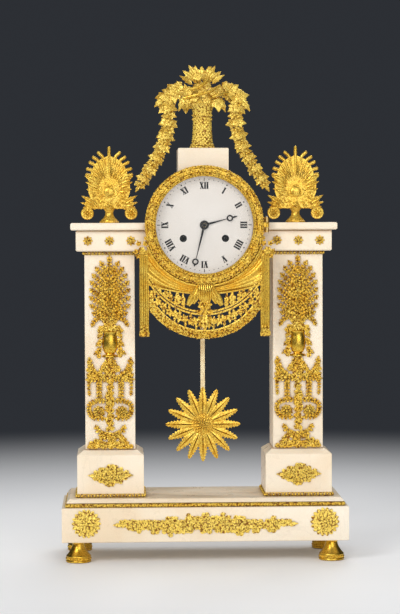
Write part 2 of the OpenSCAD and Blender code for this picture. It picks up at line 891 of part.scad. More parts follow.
module drum_case() {
  color(gilt) difference() {
    union() {
      difference() {
        union() {
          bar(centre_pos, drum_front, drum_back, drum_r, $fn = 96);
          bar(centre_pos, drum_front, drum_front + flange_t, flange_r, $fn = 96);
          bar(centre_pos, drum_back - flange_t, drum_back, rear_flange_r, $fn = 96);
        }
        bar(centre_pos, drum_front - 1, drum_back + 1, drum_in, $fn = 96);
      }
      slab(centre_pos, plate_in, plate_in + shelf_t) difference() {
        circle(drum_in + eps, $fn = 96);
        circle(drum_in - shelf_w, $fn = 96);
      }
      fixed_knuckles(bezel_hinge_x, bezel_hinge_y, drum_front);
      fixed_knuckles(door_hinge_x, door_hinge_y, drum_back - flange_t);
    }
    for (side = [-1, 1], y = [-bolt_y, bolt_y])
      translate([0, y, dial_z - bolt_drop]) rotate([0, side * 90, 0])
        cylinder(h = 2 * drum_r, r = bolt_r + bolt_gap);
    translate([0, 0, dial_z]) cylinder(h = 2 * drum_r, r = rod_r + bolt_gap);
    translate([-slot_w / 2, pendulum_y - slot_l / 2, dial_z - drum_r - 1])
      cube([slot_w, slot_l, drum_r / 2]);
  }
}

module hinge_pins() {
  l = 3 * knuckle_h + 2 * hinge_gap;
  color(steel)
    for (p = [[bezel_hinge_x, bezel_hinge_y], [door_hinge_x, door_hinge_y]])
      translate([p[0], p[1], dial_z - l / 2]) {
        cylinder(h = l, r = hinge_r);
        translate([0, 0, l + run_gap]) cylinder(h = 1.2, r = 1.6 * hinge_r);
        translate([0, 0, l - eps]) cylinder(h = 1, r = hinge_r);
      }
}

// Ring that holds the glass, with a moulded face and its hinge knuckle
module bezel() {
  w = bezel_r - dial_view_r;
  glass_room_r = dial_view_r + glass_edge + seat_gap;
  color(gilt) {
    turned_forward(bezel_back, [
      [glass_room_r, 0], [bezel_r, 0], [bezel_r, 0.3 * bezel_t], [bezel_r - 0.124 * w, 0.58 * bezel_t],
      [bezel_r - 0.195 * w, 0.58 * bezel_t], [bezel_r - 0.3 * w, bezel_t], [dial_view_r + 0.407 * w, bezel_t],
      [dial_view_r + 0.266 * w, 0.72 * bezel_t], [dial_view_r + 0.106 * w, 0.8 * bezel_t],
      [dial_view_r, 0.66 * bezel_t], [dial_view_r, glass_seat], [glass_room_r, glass_seat]]);
    knuckle(bezel_hinge_x, bezel_hinge_y, -knuckle_h / 2, knuckle_h / 2);
    translate([bezel_r - 1.5, bezel_hinge_y - knuckle_r, dial_z - knuckle_h / 2])
      cube([bezel_hinge_x - bezel_r + 1.5 - hinge_r - 2 * run_gap, 2, knuckle_h]);
  }
}

// Domed glass with a flat rim
module bezel_glass() {
  rim = dial_view_r - seat_gap;
  low = glass_seat - 0.1 - glass_t;
  ball_r = (rim * rim + glass_rise * glass_rise) / (2 * glass_rise);
  spread = asin(rim / ball_r);
  steps = 8;
  color(clear) turned_forward(bezel_back, concat(
    [for (k = [0:steps]) let (a = spread * k / steps)
      [ball_r * sin(a), low + glass_t + glass_rise - ball_r * (1 - cos(a))]],
    [[rim + glass_edge, low + glass_t], [rim + glass_edge, low]],
    [for (k = [steps:-1:0]) let (a = spread * k / steps)
      [ball_r * sin(a), low + glass_rise - ball_r * (1 - cos(a))]]));
}

module rear_door() {
  door_back = drum_back + seat_gap;
  color(gilt) {
    turned_forward(door_back, [
      [door_in + 1.5, 0], [rear_flange_r, 0], [rear_flange_r, -0.6 * door_t], [rear_flange_r - 2, -door_t],
      [door_in + 1, -door_t], [door_in, -0.8 * door_t], [door_in, -0.6 * door_t], [door_in + 1.5, -0.6 * door_t]]);
    knuckle(door_hinge_x, door_hinge_y, -knuckle_h / 2, knuckle_h / 2);
    translate([rear_flange_r - 1.5, door_hinge_y + knuckle_r - 2, dial_z - knuckle_h / 2])
      cube([door_hinge_x - rear_flange_r + 1.5 - hinge_r - 2 * run_gap, 2, knuckle_h]);
    translate([-(door_in + rear_flange_r) / 2, door_back + door_t - eps, dial_z]) rotate([-90, 0, 0])
      rotate_extrude() polygon([[0, 0], [1.4, 0], [1.4, 2], [2.4, 3], [2.4, 4], [1.6, 4.8], [0, 4.8]]);
  }
}

module rear_door_glass() {
  glass_back = drum_back + seat_gap + 0.6 * door_t;
  color(clear) bar(centre_pos, glass_back - glass_t - 0.1, glass_back - 0.1, door_in + 1.2, $fn = 96);
}

// Enamelled dial with holes for the winding squares and for the hour pipe, on three feet
module dial() {
  color(enamel) {
    slab(centre_pos, dial_front, dial_back) difference() {
      circle(drum_in - 0.5, $fn = 96);
      circle(hour_pipe_r + 0.4);
      translate(going_pos) circle(3.8);
      translate(strike_pos) circle(3.8);
    }
    for (a = [30, 150, 270])
      bar(46 * [cos(a), sin(a)], dial_back - eps, plate_front, 1.2);
  }
}

module tie_rods() {
  color(steel) {
    both_sides() {
      translate([0, 0, plinth_z + 1])
        cylinder(h = pillar_top + palmette_seat - plinth_z - 1, r = rod_r);
      translate([0, 0, plinth_z + nut_recess - nut_h - eps]) nut();
    }
    translate([0, 0, attic_nut_z - 0.5])
      cylinder(h = attic_top + palmette_seat - attic_nut_z + 0.5, r = rod_r);
    translate([0, 0, attic_nut_z]) nut();
  }
}

// Hexagon nut round a tie rod
module nut() {
  difference() {
    cylinder(h = nut_h, r = nut_r, $fn = 6);
    translate([0, 0, -1]) cylinder(h = nut_h + 2, r = rod_r + run_gap);
  }
}

module drum_bolts() {
  wall_x = sqrt(drum_in * drum_in - pow(bolt_drop + bolt_head_r, 2)) - 0.1;
  color(steel)
    for (side = [-1, 1], y = [-bolt_y, bolt_y])
      translate([0, y, dial_z - bolt_drop]) rotate([0, side * 90, 0]) {
        translate([0, 0, wall_x]) cylinder(h = drum_r + bolt_depth - 2 - wall_x, r = bolt_r);
        translate([0, 0, wall_x - bolt_head_h]) cylinder(h = bolt_head_h, r = bolt_head_r);
      }
}

// Hands and motion work

hour_hand_y = dial_front - 1;
minute_hand_y = hour_hand_y - 1.9;
hand_t = 0.8;

// Slender hand that points up, with an open ring before its tip
module hand_outline(len, ring_at, hub, bore) {
  ring = 2.9;
  difference() {
    union() {
      circle(hub);
      polygon([[-1.1, 0], [-0.55, ring_at - ring], [0.55, ring_at - ring], [1.1, 0]]);
      translate([0, ring_at]) circle(ring);
      polygon([[-1, ring_at + ring - 0.3], [0, len], [1, ring_at + ring - 0.3]]);
    }
    translate([0, ring_at]) circle(ring - 1);
    circle(bore);
  }
}

module minute_hand() {
  color(black) slab(centre_pos, minute_hand_y - hand_t, minute_hand_y)
    rotate(-minute_angle) hand_outline(minute_hand_l, minute_hand_l - 5.4, 3.6, cannon_pipe_r);
}

module hour_hand() {
  color(black) slab(centre_pos, hour_hand_y - hand_t, hour_hand_y)
    rotate(-hour_angle) hand_outline(hour_hand_l, hour_hand_l - 8.4, 4.8, hour_pipe_r);
}

motion_y = plate_front - 0.5;
hour_wheel_y = motion_y - 2.9;
motion_wheel_t = 1.2;

module cannon_pinion() {
  pipe_end = minute_hand_y - hand_t - 0.8;
  color(brass) difference() {
    union() {
      slab(centre_pos, motion_y - motion_wheel_t, motion_y)
        pinion(cannon_n, motion_m, bearing(minute_pos, centre_pos));
      bar(centre_pos, pipe_end, motion_y, cannon_pipe_r);
    }
    bar(centre_pos, pipe_end - 1, motion_y + 1, centre_arbor_r + run_gap);
  }
}

module minute_wheel() {
  pinion_end = hour_wheel_y - motion_wheel_t - 0.4;
  color(brass) difference() {
    union() {
      slab(minute_pos, motion_y - motion_wheel_t, motion_y)
        wheel(minute_n, motion_m, bearing(minute_pos, centre_pos), 4);
      slab(minute_pos, pinion_end, motion_y - motion_wheel_t + eps)
        pinion(minute_leaves, hour_m, bearing(centre_pos, minute_pos));
    }
    bar(minute_pos, pinion_end - 1, motion_y + 1, minute_post_r + run_gap);
  }
}

module hour_wheel() {
  color(brass) difference() {
    union() {
      slab(centre_pos, hour_wheel_y - motion_wheel_t, hour_wheel_y)
        rotate(bearing(centre_pos, minute_pos)) polygon(gear_points(hour_n, hour_m, wheel_thick));
      bar(centre_pos, hour_hand_y - hand_t - 0.4, hour_wheel_y, hour_pipe_r);
    }
    bar(centre_pos, hour_hand_y - hand_t - 1, hour_wheel_y + 1, cannon_pipe_r + run_gap);
  }
}

// Movement frame

module front_plate() {
  color(brass) {
    slab(centre_pos, plate_front, plate_in) difference() {
      circle(front_plate_r, $fn = 96);
      for (p = concat(train_arbors, [anchor_pos, hammer_pos]))
        translate(p) circle(pivot_r + run_gap);
      circle(centre_arbor_r + run_gap);
      for (p = [going_pos, strike_pos])
        translate(p) circle(barrel_arbor_r + run_gap);
    }
    for (p = pillar_places) {
      bar(p, plate_in - eps, back_in, pillar_r);
      bar(p, back_in - eps, back_out + 0.6, pillar_stud_r);
    }
    bar(minute_pos, hour_wheel_y - motion_wheel_t - 0.6, plate_front + eps, minute_post_r);
    for (p = [going_pos, strike_pos])
      click(p);
  }
}

// Click beside a winding ratchet, lifted just clear of its teeth
module click(pos) {
  bar(pos + [0, -13], plate_front - 2, plate_front + eps, 2);
  slab(pos + [0, -13], plate_front - 2, plate_front - 0.8) rotate(-35) translate([-1.1, 0]) square([2.2, 6]);
}

module back_plate() {
  color(brass) slab(centre_pos, back_in, back_out) difference() {
    circle(back_plate_r, $fn = 96);
    for (p = concat(train_arbors, [centre_pos]))
      if (p != count_pos)
        translate(p) circle(pivot_r + run_gap);
    for (p = [count_pos, hammer_pos])
      translate(p) circle(arbor_r + run_gap);
    for (p = [going_pos, strike_pos])
      translate(p) circle(pivot_r + run_gap);
    translate(anchor_pos) circle(3.2);
    for (p = pillar_places)
      translate(p) circle(pillar_stud_r + run_gap);
  }
}

cock_y = back_out + 4;
cock_t = 2.2;

// Bridge behind the back plate that carries the anchor's rear pivot and the pendulum
module back_cock() {
  color(brass) difference() {
    union() {
      for (x = [-12, 12])
        slab(anchor_pos + [x, 0], back_out, cock_y + eps) square([5, 7], center = true);
      slab(anchor_pos, cock_y, cock_y + cock_t) square([29, 7], center = true);
      bar(anchor_pos, cock_y + cock_t - eps, rod_back + 2, stud_r);
      bar(anchor_pos, rod_back + 1, rod_back + 2, 2 * stud_r);
    }
    bar(anchor_pos, cock_y - 1, cock_y + 1.4, pivot_r + run_gap);
  }
}

// Going train

great_y = plate_in + 20;
great_t = 2;
barrel_y = plate_in + 3;

// Spring barrel: a drum with the great wheel on its back edge
module barrel(pos, mate) {
  color(brass) difference() {
    union() {
      bar(pos, barrel_y, great_y + eps, barrel_r);
      slab(pos, great_y, great_y + great_t)
        rotate(bearing(pos, mate)) polygon(gear_points(great_n, great_m, wheel_thick));
    }
    bar(pos, barrel_y + 1.5, great_y, barrel_r - 1.5);
    bar(pos, barrel_y - 1, great_y + great_t + 1, barrel_arbor_r + run_gap);
  }
}

module going_barrel() {
  barrel(going_pos, intermediate_pos);
}

module strike_barrel() {
  barrel(strike_pos, count_pos);
}

// Winding arbor with its ratchet in front of the plate and a square for the key
module barrel_arbor(pos) {
  square_w = 3.8;
  teeth = 16;
  color(steel) {
    bar(pos, plate_front - 0.6, back_in - end_shake, barrel_arbor_r);
    bar(pos, back_in - end_shake - eps, back_out - end_shake, pivot_r);
    slab(pos, dial_front + 1, plate_front) square(square_w, center = true);
    slab(pos, plate_front - 1.8, plate_front - 0.6) polygon([for (i = [0:teeth - 1], k = [0, 1])
      [7, 5.6][k] * [cos(360 / teeth * (i + 0.1 * k)), sin(360 / teeth * (i + 0.1 * k))]]);
  }
}

module going_arbor() {
  barrel_arbor(going_pos);
}

module strike_arbor() {
  barrel_arbor(strike_pos);
}

module intermediate_wheel() {
  color(brass) {
    train_pinion(intermediate_pos, 18.5, 23.5, second_leaves, great_m, going_pos);
    slab(intermediate_pos, plate_in + 25, plate_in + 26.5)
      wheel(intermediate_n, intermediate_m, bearing(intermediate_pos, centre_pos), 5);
  }
}

module centre_wheel() {
  color(brass) {
    bar(centre_pos, minute_hand_y - hand_t, plate_in + 23.5, centre_arbor_r);
    bar(centre_pos, plate_in + 23.4, back_in - end_shake, arbor_r);
    bar(centre_pos, back_in - end_shake - eps, back_out - end_shake, pivot_r);
    slab(centre_pos, plate_in + 23.5, plate_in + 28)
      pinion(centre_leaves, intermediate_m, bearing(intermediate_pos, centre_pos));
    slab(centre_pos, plate_in + 29, plate_in + 30.5)
      wheel(centre_n, centre_m, bearing(centre_pos, third_pos), 4);
  }
}

module third_wheel() {
  color(brass) {
    train_pinion(third_pos, 28, 31.5, third_leaves, centre_m, centre_pos);
    slab(third_pos, plate_in + 32.3, plate_in + 33.5)
      wheel(third_n, third_m, bearing(third_pos, escape_pos), 4);
  }
}

escape_y = plate_in + 8;
escape_t = 1.2;

module escape_wheel() {
  color(brass) {
    train_pinion(escape_pos, 31, 33.7, escape_leaves, third_m, third_pos);
    slab(escape_pos, escape_y, escape_y + escape_t) difference() {
      polygon([for (i = [0:escape_n - 1], k = [0, 1])
        [escape_r, escape_r - 1.9][k] * [cos(360 / escape_n * (i + 0.3 * k)), sin(360 / escape_n * (i + 0.3 * k))]]);
      difference() {
        circle(escape_r - 3);
        circle(2.2);
        for (a = [0, 90])
          rotate(a) square([2 * escape_r, 1.2], center = true);
      }
    }
  }
}

// Anchor between the plates, with the crutch that embraces the pendulum rod behind them
module anchor() {
  crutch_y = back_out + 1;
  fork = rod_w / 2 + seat_gap;
  fork_drop = 30;
  color(steel) {
    bar(anchor_pos, plate_in + end_shake, crutch_y + 2, arbor_r);
    bar(anchor_pos, plate_front + end_shake, cock_y + 1.2, pivot_r);
    slab(anchor_pos, escape_y, escape_y + escape_t) {
      circle(2.6);
      both_halves() polygon([[0, 2], [8.6, -4.4], [8.6, -7], [7, -6.4], [0, -2]]);
    }
    slab(anchor_pos, crutch_y, crutch_y + 2) {
      circle(2.4);
      translate([-1, -fork_drop]) square([2, fork_drop]);
      translate([-fork - 1.6, -fork_drop - 2]) square([2 * fork + 3.2, 3]);
    }
    for (x = [-fork - 1.6, fork])
      slab(anchor_pos + [x, -fork_drop - 2], crutch_y + 2 - eps, rod_back + 1) square([1.6, 3]);
  }
}

// Striking train

count_y = back_out + 0.5;

// Great wheel's second arbor: pinion and wheel between the plates, count plate behind them
module count_wheel() {
  notch_at = [for (n = [1:12]) n * (n + 1) / 2 * 360 / 78];
  color(brass) {
    bar(count_pos, plate_in + end_shake, count_y + 1.5, arbor_r);
    bar(count_pos, plate_front + end_shake, plate_in + end_shake + eps, pivot_r);
    slab(count_pos, plate_in + 18.5, plate_in + 23.5)
      pinion(second_leaves, great_m, bearing(strike_pos, count_pos));
    slab(count_pos, plate_in + 24.3, plate_in + 25.5)
      wheel(count_n, count_m, bearing(count_pos, pin_pos), 4);
    slab(count_pos, count_y, count_y + 1.5) difference() {
      circle(13, $fn = 96);
      for (a = notch_at)
        rotate(a) translate([11, -0.6]) square([3, 1.2]);
    }
  }
}

module pin_wheel() {
  wheel_y = plate_in + 10;
  color(brass) {
    train_pinion(pin_pos, 23.5, 26.5, pin_leaves, count_m, count_pos);
    slab(pin_pos, wheel_y, wheel_y + 1.2) wheel(pin_n, pin_m, bearing(pin_pos, warning_pos), 4);
    for (k = [0:pin_count - 1])
      bar(pin_pos + pin_circle * [cos(360 / pin_count * k), sin(360 / pin_count * k)],
        wheel_y + 1.2 - eps, wheel_y + 4, 0.5, $fn = 16);
  }
}

module warning_wheel() {
  color(brass) {
    train_pinion(warning_pos, 9.2, 12, warning_leaves, pin_m, pin_pos);
    slab(warning_pos, plate_in + 16, plate_in + 17.2)
      wheel(warning_n, warning_m, bearing(warning_pos, fly_pos), 4);
    bar(warning_pos + [5, 0], plate_in + 17.2 - eps, plate_in + 19, 0.5, $fn = 16);
  }
}

// Fly: two vanes that brake the striking train
module fly() {
  color(steel) {
    train_pinion(fly_pos, 15.2, 18, fly_leaves, warning_m, warning_pos);
    slab(fly_pos, plate_in + 21, plate_in + 30) square([12.6, 0.8], center = true);
  }
}

// Hammer: tail by the pins, arm behind the back plate and head beside the bell
module hammer() {
  arm_y = back_out + 3;
  head = [-36.8, 4];
  tail = bearing(hammer_pos, pin_pos);
  reach = norm(pin_pos - hammer_pos) - pin_circle - 0.5 - 2 * seat_gap;
  arm = norm(head - hammer_pos);
  color(steel) {
    bar(hammer_pos, plate_in + end_shake, arm_y + 1.5, arbor_r);
    bar(hammer_pos, plate_front + end_shake, plate_in + end_shake + eps, pivot_r);
    slab(hammer_pos, plate_in + 11.8, plate_in + 13.4)
      rotate(tail) translate([0, -1]) square([reach, 2]);
    slab(hammer_pos, arm_y, arm_y + 1.5)
      rotate(bearing(hammer_pos, head)) translate([-2, -1.2]) square([arm + 3, 2.4]);
    bar(head, arm_y, bell_y + 6, 1);
    bar(head, bell_y - 1, bell_y + 7, 3);
  }
}

module bell() {
  steps = 10;
  hole = 2.1;
  low = asin(hole / bell_r);
  color(steel) translate([0, bell_y, dial_z]) rotate([-90, 0, 0]) rotate_extrude($fn = 96) polygon(concat(
    [for (k = [0:steps]) let (a = (90 - low) * k / steps) [bell_r * cos(a), bell_l * sin(a)]],
    [for (k = [steps:-1:0]) let (a = (90 - low) * k / steps)
      [max(hole, (bell_r - bell_wall) * cos(a)), (bell_l - bell_wall) * sin(a)]]));
}

// Post on the back plate with an arm behind the bell and the screw that holds it
module bell_stand() {
  arm_y = bell_y + bell_l + 0.1;
  arm_t = 2.4;
  color(steel) {
    bar(bell_post_pos, back_out, arm_y + arm_t, 2.2);
    slab(bell_post_pos, arm_y, arm_y + arm_t)
      rotate(bearing(bell_post_pos, centre_pos)) translate([0, -2.4]) square([norm(bell_post_pos) + 3, 4.8]);
    bar(centre_pos, bell_y + bell_l - bell_wall - 2.2, arm_y + eps, 2);
    bar(centre_pos, bell_y + bell_l - bell_wall - 2.2, bell_y + bell_l - bell_wall - 0.3, 4);
  }
}

// Pendulum

module pendulum_rod() {
  color(brass) difference() {
    translate([0, rod_back, suspension_z]) rotate([90, 0, 0]) linear_extrude(rod_t) union() {
      circle(eye_r);
      translate([-rod_w / 2, -pendulum_l - 12]) square([rod_w, pendulum_l + 12]);
    }
    bar(anchor_pos, rod_front - 1, rod_back + 1, stud_r + run_gap);
  }
}

// Sunburst: feathered rays, each with a groove, round a raised middle
module sunburst_bob() {
  ray_w = 10.5;
  middle_r = 0.38 * bob_r;
  color(gilt) translate([0, rod_front, bob_z]) {
    difference() {
      rotate([90, 0, 0]) linear_extrude(bob_t) {
        circle(0.62 * bob_r);
        for (k = [0:bob_rays - 1])
          rotate(360 / bob_rays * k) {
            leaf(bob_r - 1, ray_w);
            translate([-1.1, bob_r / 2]) square([2.2, bob_r / 2]);
          }
      }
      for (k = [0:bob_rays - 1])
        rotate([0, 360 / bob_rays * k, 0])
          translate([-0.4, -bob_t - 1, middle_r]) cube([0.8, 1.8, bob_r - middle_r - 1.5]);
    }
    translate([0, -bob_t + eps, 0]) rotate([90, 0, 0]) rotate_extrude()
      polygon([[0, 0], [middle_r, 0], [middle_r - 1.5, 1.2], [0.6 * middle_r, 2.2], [0.25 * middle_r, 2.8], [0, 2.9]]);
  }
}

module left_pedestal() {
  pedestal(-1);
}

module right_pedestal() {
  pedestal(1);
}

module left_shaft() {
  shaft(-1);
}

module right_shaft() {
  shaft(1);
}

module left_capital() {
  capital(-1);
}

module right_capital() {
  capital(1);
}

module left_palmette() {
  palmette(-1);
}

module right_palmette() {
  palmette(1);
}

base_plinth();
feet();
step_moulding();
base_step();
base_garland();
base_rosettes();
left_pedestal();
right_pedestal();
pedestal_beadings();
pedestal_mounts();
left_shaft();
right_shaft();
shaft_mounts();
capital_beadings();
left_capital();
right_capital();
cornices();
capital_rosettes();
attic_block();
tie_rods();
drum_bolts();
left_palmette();
right_palmette();
flower_basket();
bouquet();
garlands();
drapery();
drum_case();
dial();
bezel();
bezel_glass();
rear_door();
rear_door_glass();
hinge_pins();
minute_hand();
hour_hand();
cannon_pinion();
minute_wheel();
hour_wheel();
front_plate();
back_plate();
back_cock();
going_barrel();
going_arbor();
intermediate_wheel();
centre_wheel();
third_wheel();
escape_wheel();
anchor();
strike_barrel();
strike_arbor();
count_wheel();
pin_wheel();
warning_wheel();
fly();
hammer();
bell();
bell_stand();
pendulum_rod();
sunburst_bob();
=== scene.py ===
"""Looks of the portico clock: marble blocks, cast and chased gilt mounts, enamel dial and brass movement.

Shapes are written in millimetres in the frame of the clock: +Z up, the dial faces -Y.
"""
import json
import random
from math import asin, atan2, cos, pi, radians, sin, sqrt, tan

import bmesh
import bpy
from mathutils import Matrix, Vector

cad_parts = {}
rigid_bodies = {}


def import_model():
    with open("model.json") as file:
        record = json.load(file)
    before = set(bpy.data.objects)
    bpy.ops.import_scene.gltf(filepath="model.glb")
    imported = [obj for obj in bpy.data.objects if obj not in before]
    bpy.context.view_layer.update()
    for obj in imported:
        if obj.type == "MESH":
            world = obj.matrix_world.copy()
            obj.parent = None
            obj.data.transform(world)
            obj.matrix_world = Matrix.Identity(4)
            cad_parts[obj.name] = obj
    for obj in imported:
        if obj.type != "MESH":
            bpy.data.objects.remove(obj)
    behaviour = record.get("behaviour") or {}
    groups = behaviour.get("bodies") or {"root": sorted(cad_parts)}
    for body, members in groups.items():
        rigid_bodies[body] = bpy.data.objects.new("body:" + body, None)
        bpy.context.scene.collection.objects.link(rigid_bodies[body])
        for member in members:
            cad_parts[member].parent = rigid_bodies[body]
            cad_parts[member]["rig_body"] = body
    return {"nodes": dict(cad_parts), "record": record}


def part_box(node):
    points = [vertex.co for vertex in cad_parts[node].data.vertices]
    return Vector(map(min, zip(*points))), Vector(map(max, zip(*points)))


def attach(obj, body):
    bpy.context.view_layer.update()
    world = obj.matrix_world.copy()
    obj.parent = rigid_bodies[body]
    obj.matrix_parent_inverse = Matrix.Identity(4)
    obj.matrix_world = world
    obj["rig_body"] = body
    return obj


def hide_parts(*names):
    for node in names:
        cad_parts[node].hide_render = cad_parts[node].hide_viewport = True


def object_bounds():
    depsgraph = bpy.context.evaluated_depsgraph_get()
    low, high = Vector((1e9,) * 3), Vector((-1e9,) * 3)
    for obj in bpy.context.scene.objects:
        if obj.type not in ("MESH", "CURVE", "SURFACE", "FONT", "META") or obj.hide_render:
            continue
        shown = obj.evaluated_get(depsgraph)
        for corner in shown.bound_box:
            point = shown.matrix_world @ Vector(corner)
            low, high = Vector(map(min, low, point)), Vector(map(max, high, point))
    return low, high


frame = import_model()
CAD_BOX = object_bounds()

MM = 0.001
UP = Vector((0, 0, 1))
FRONT = Vector((0, -1, 0))
SIDES = (-1, 1)
WHITE = (1, 1, 1)


def cad_box(node):
    """Lowest and highest corner of a node, in millimetres."""
    low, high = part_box(node)
    return low / MM, high / MM


# Places taken from the frame
DIAL_LOW, DIAL_HIGH = cad_box("dial")
DIAL_Z = (DIAL_LOW.z + DIAL_HIGH.z) / 2
DIAL_FRONT = DIAL_LOW.y
SHAFT_LOW, SHAFT_HIGH = cad_box("right_shaft")
PILLAR_X = (SHAFT_LOW.x + SHAFT_HIGH.x) / 2
PILLAR_TOP = cad_box("cornices")[1].z
PEDESTAL_LOW, PEDESTAL_HIGH = cad_box("right_pedestal")
PLINTH_Z = cad_box("base_plinth")[0].z
ATTIC_TOP = cad_box("attic_block")[1].z
BASKET_TOP = cad_box("flower_basket")[1].z
OBJECT_TOP = CAD_BOX[1][2] / MM


# Shapes

def vec(x, y, z):
    """Place or direction in the frame."""
    return Vector((x, y, z))


def on_face(y, level, rest=0.0):
    """Function for places on an upright face; rest is their usual height over it."""
    return lambda x, z, lift=rest: vec(x, y - lift, level + z)


def aim(degrees):
    """Direction in the plane of the dial, clockwise from the top."""
    a = radians(degrees)
    return vec(sin(a), 0, cos(a))


def turns(count, start=0.0):
    """Angles of a full turn in equal steps."""
    return [start + 2 * pi * k / count for k in range(count)]


def across(out):
    """Two directions square to out: one level, one upwards."""
    level = UP.cross(out)
    if level.length < 0.001:
        level = vec(1, 0, 0)
    level.normalize()
    return level, out.cross(level)


def ways(out, count, start=0.0):
    """Directions in equal steps round out."""
    level, rise = across(out)
    return [level * cos(a) + rise * sin(a) for a in turns(count, start)]


def spline(points, steps=6):
    """Smooth line through the points."""
    pts = [2 * points[0] - points[1]] + points + [2 * points[-1] - points[-2]]
    line = []
    for a, b, c, d in zip(pts, pts[1:], pts[2:], pts[3:]):
        for k in range(steps):
            t = k / steps
            bend = (2 * a - 5 * b + 4 * c - d) * t * t + (3 * b - a - 3 * c + d) * t ** 3
            line.append(0.5 * (2 * b + (c - a) * t + bend))
    return line + [pts[-2]]


def tapered(start, end):
    """Radius that changes evenly along a line and closes at its far end."""
    return lambda t: (start + (end - start) * t) * min(1.0, 6 * (1.02 - t)) ** 0.5


# Cross sections from edge to edge: leaf with a sunk vein, ray with a narrow groove, small leaf
LEAF = ((-1, 0), (-0.66, 0.9), (-0.24, 0.8), (0, 0.3), (0.24, 0.8), (0.66, 0.9), (1, 0), (0, -0.5))
RAY = ((-1, 0.7), (-0.9, 0.86), (-0.17, 1.0), (0, 0.2), (0.17, 1.0), (0.9, 0.86), (1, 0.7), (0, -0.5))
SPRIG = ((-1, 0), (-0.55, 0.9), (0, 0.25), (0.55, 0.9), (1, 0), (0, -0.5))
# Points of an ivy leaf: angle and share of its size
IVY = ((0, 1.0), (-58, 0.8), (58, 0.8), (-118, 0.55), (118, 0.55))
# Angle of the leaflets of a branch to its middle line
LEAFLET = radians(46)


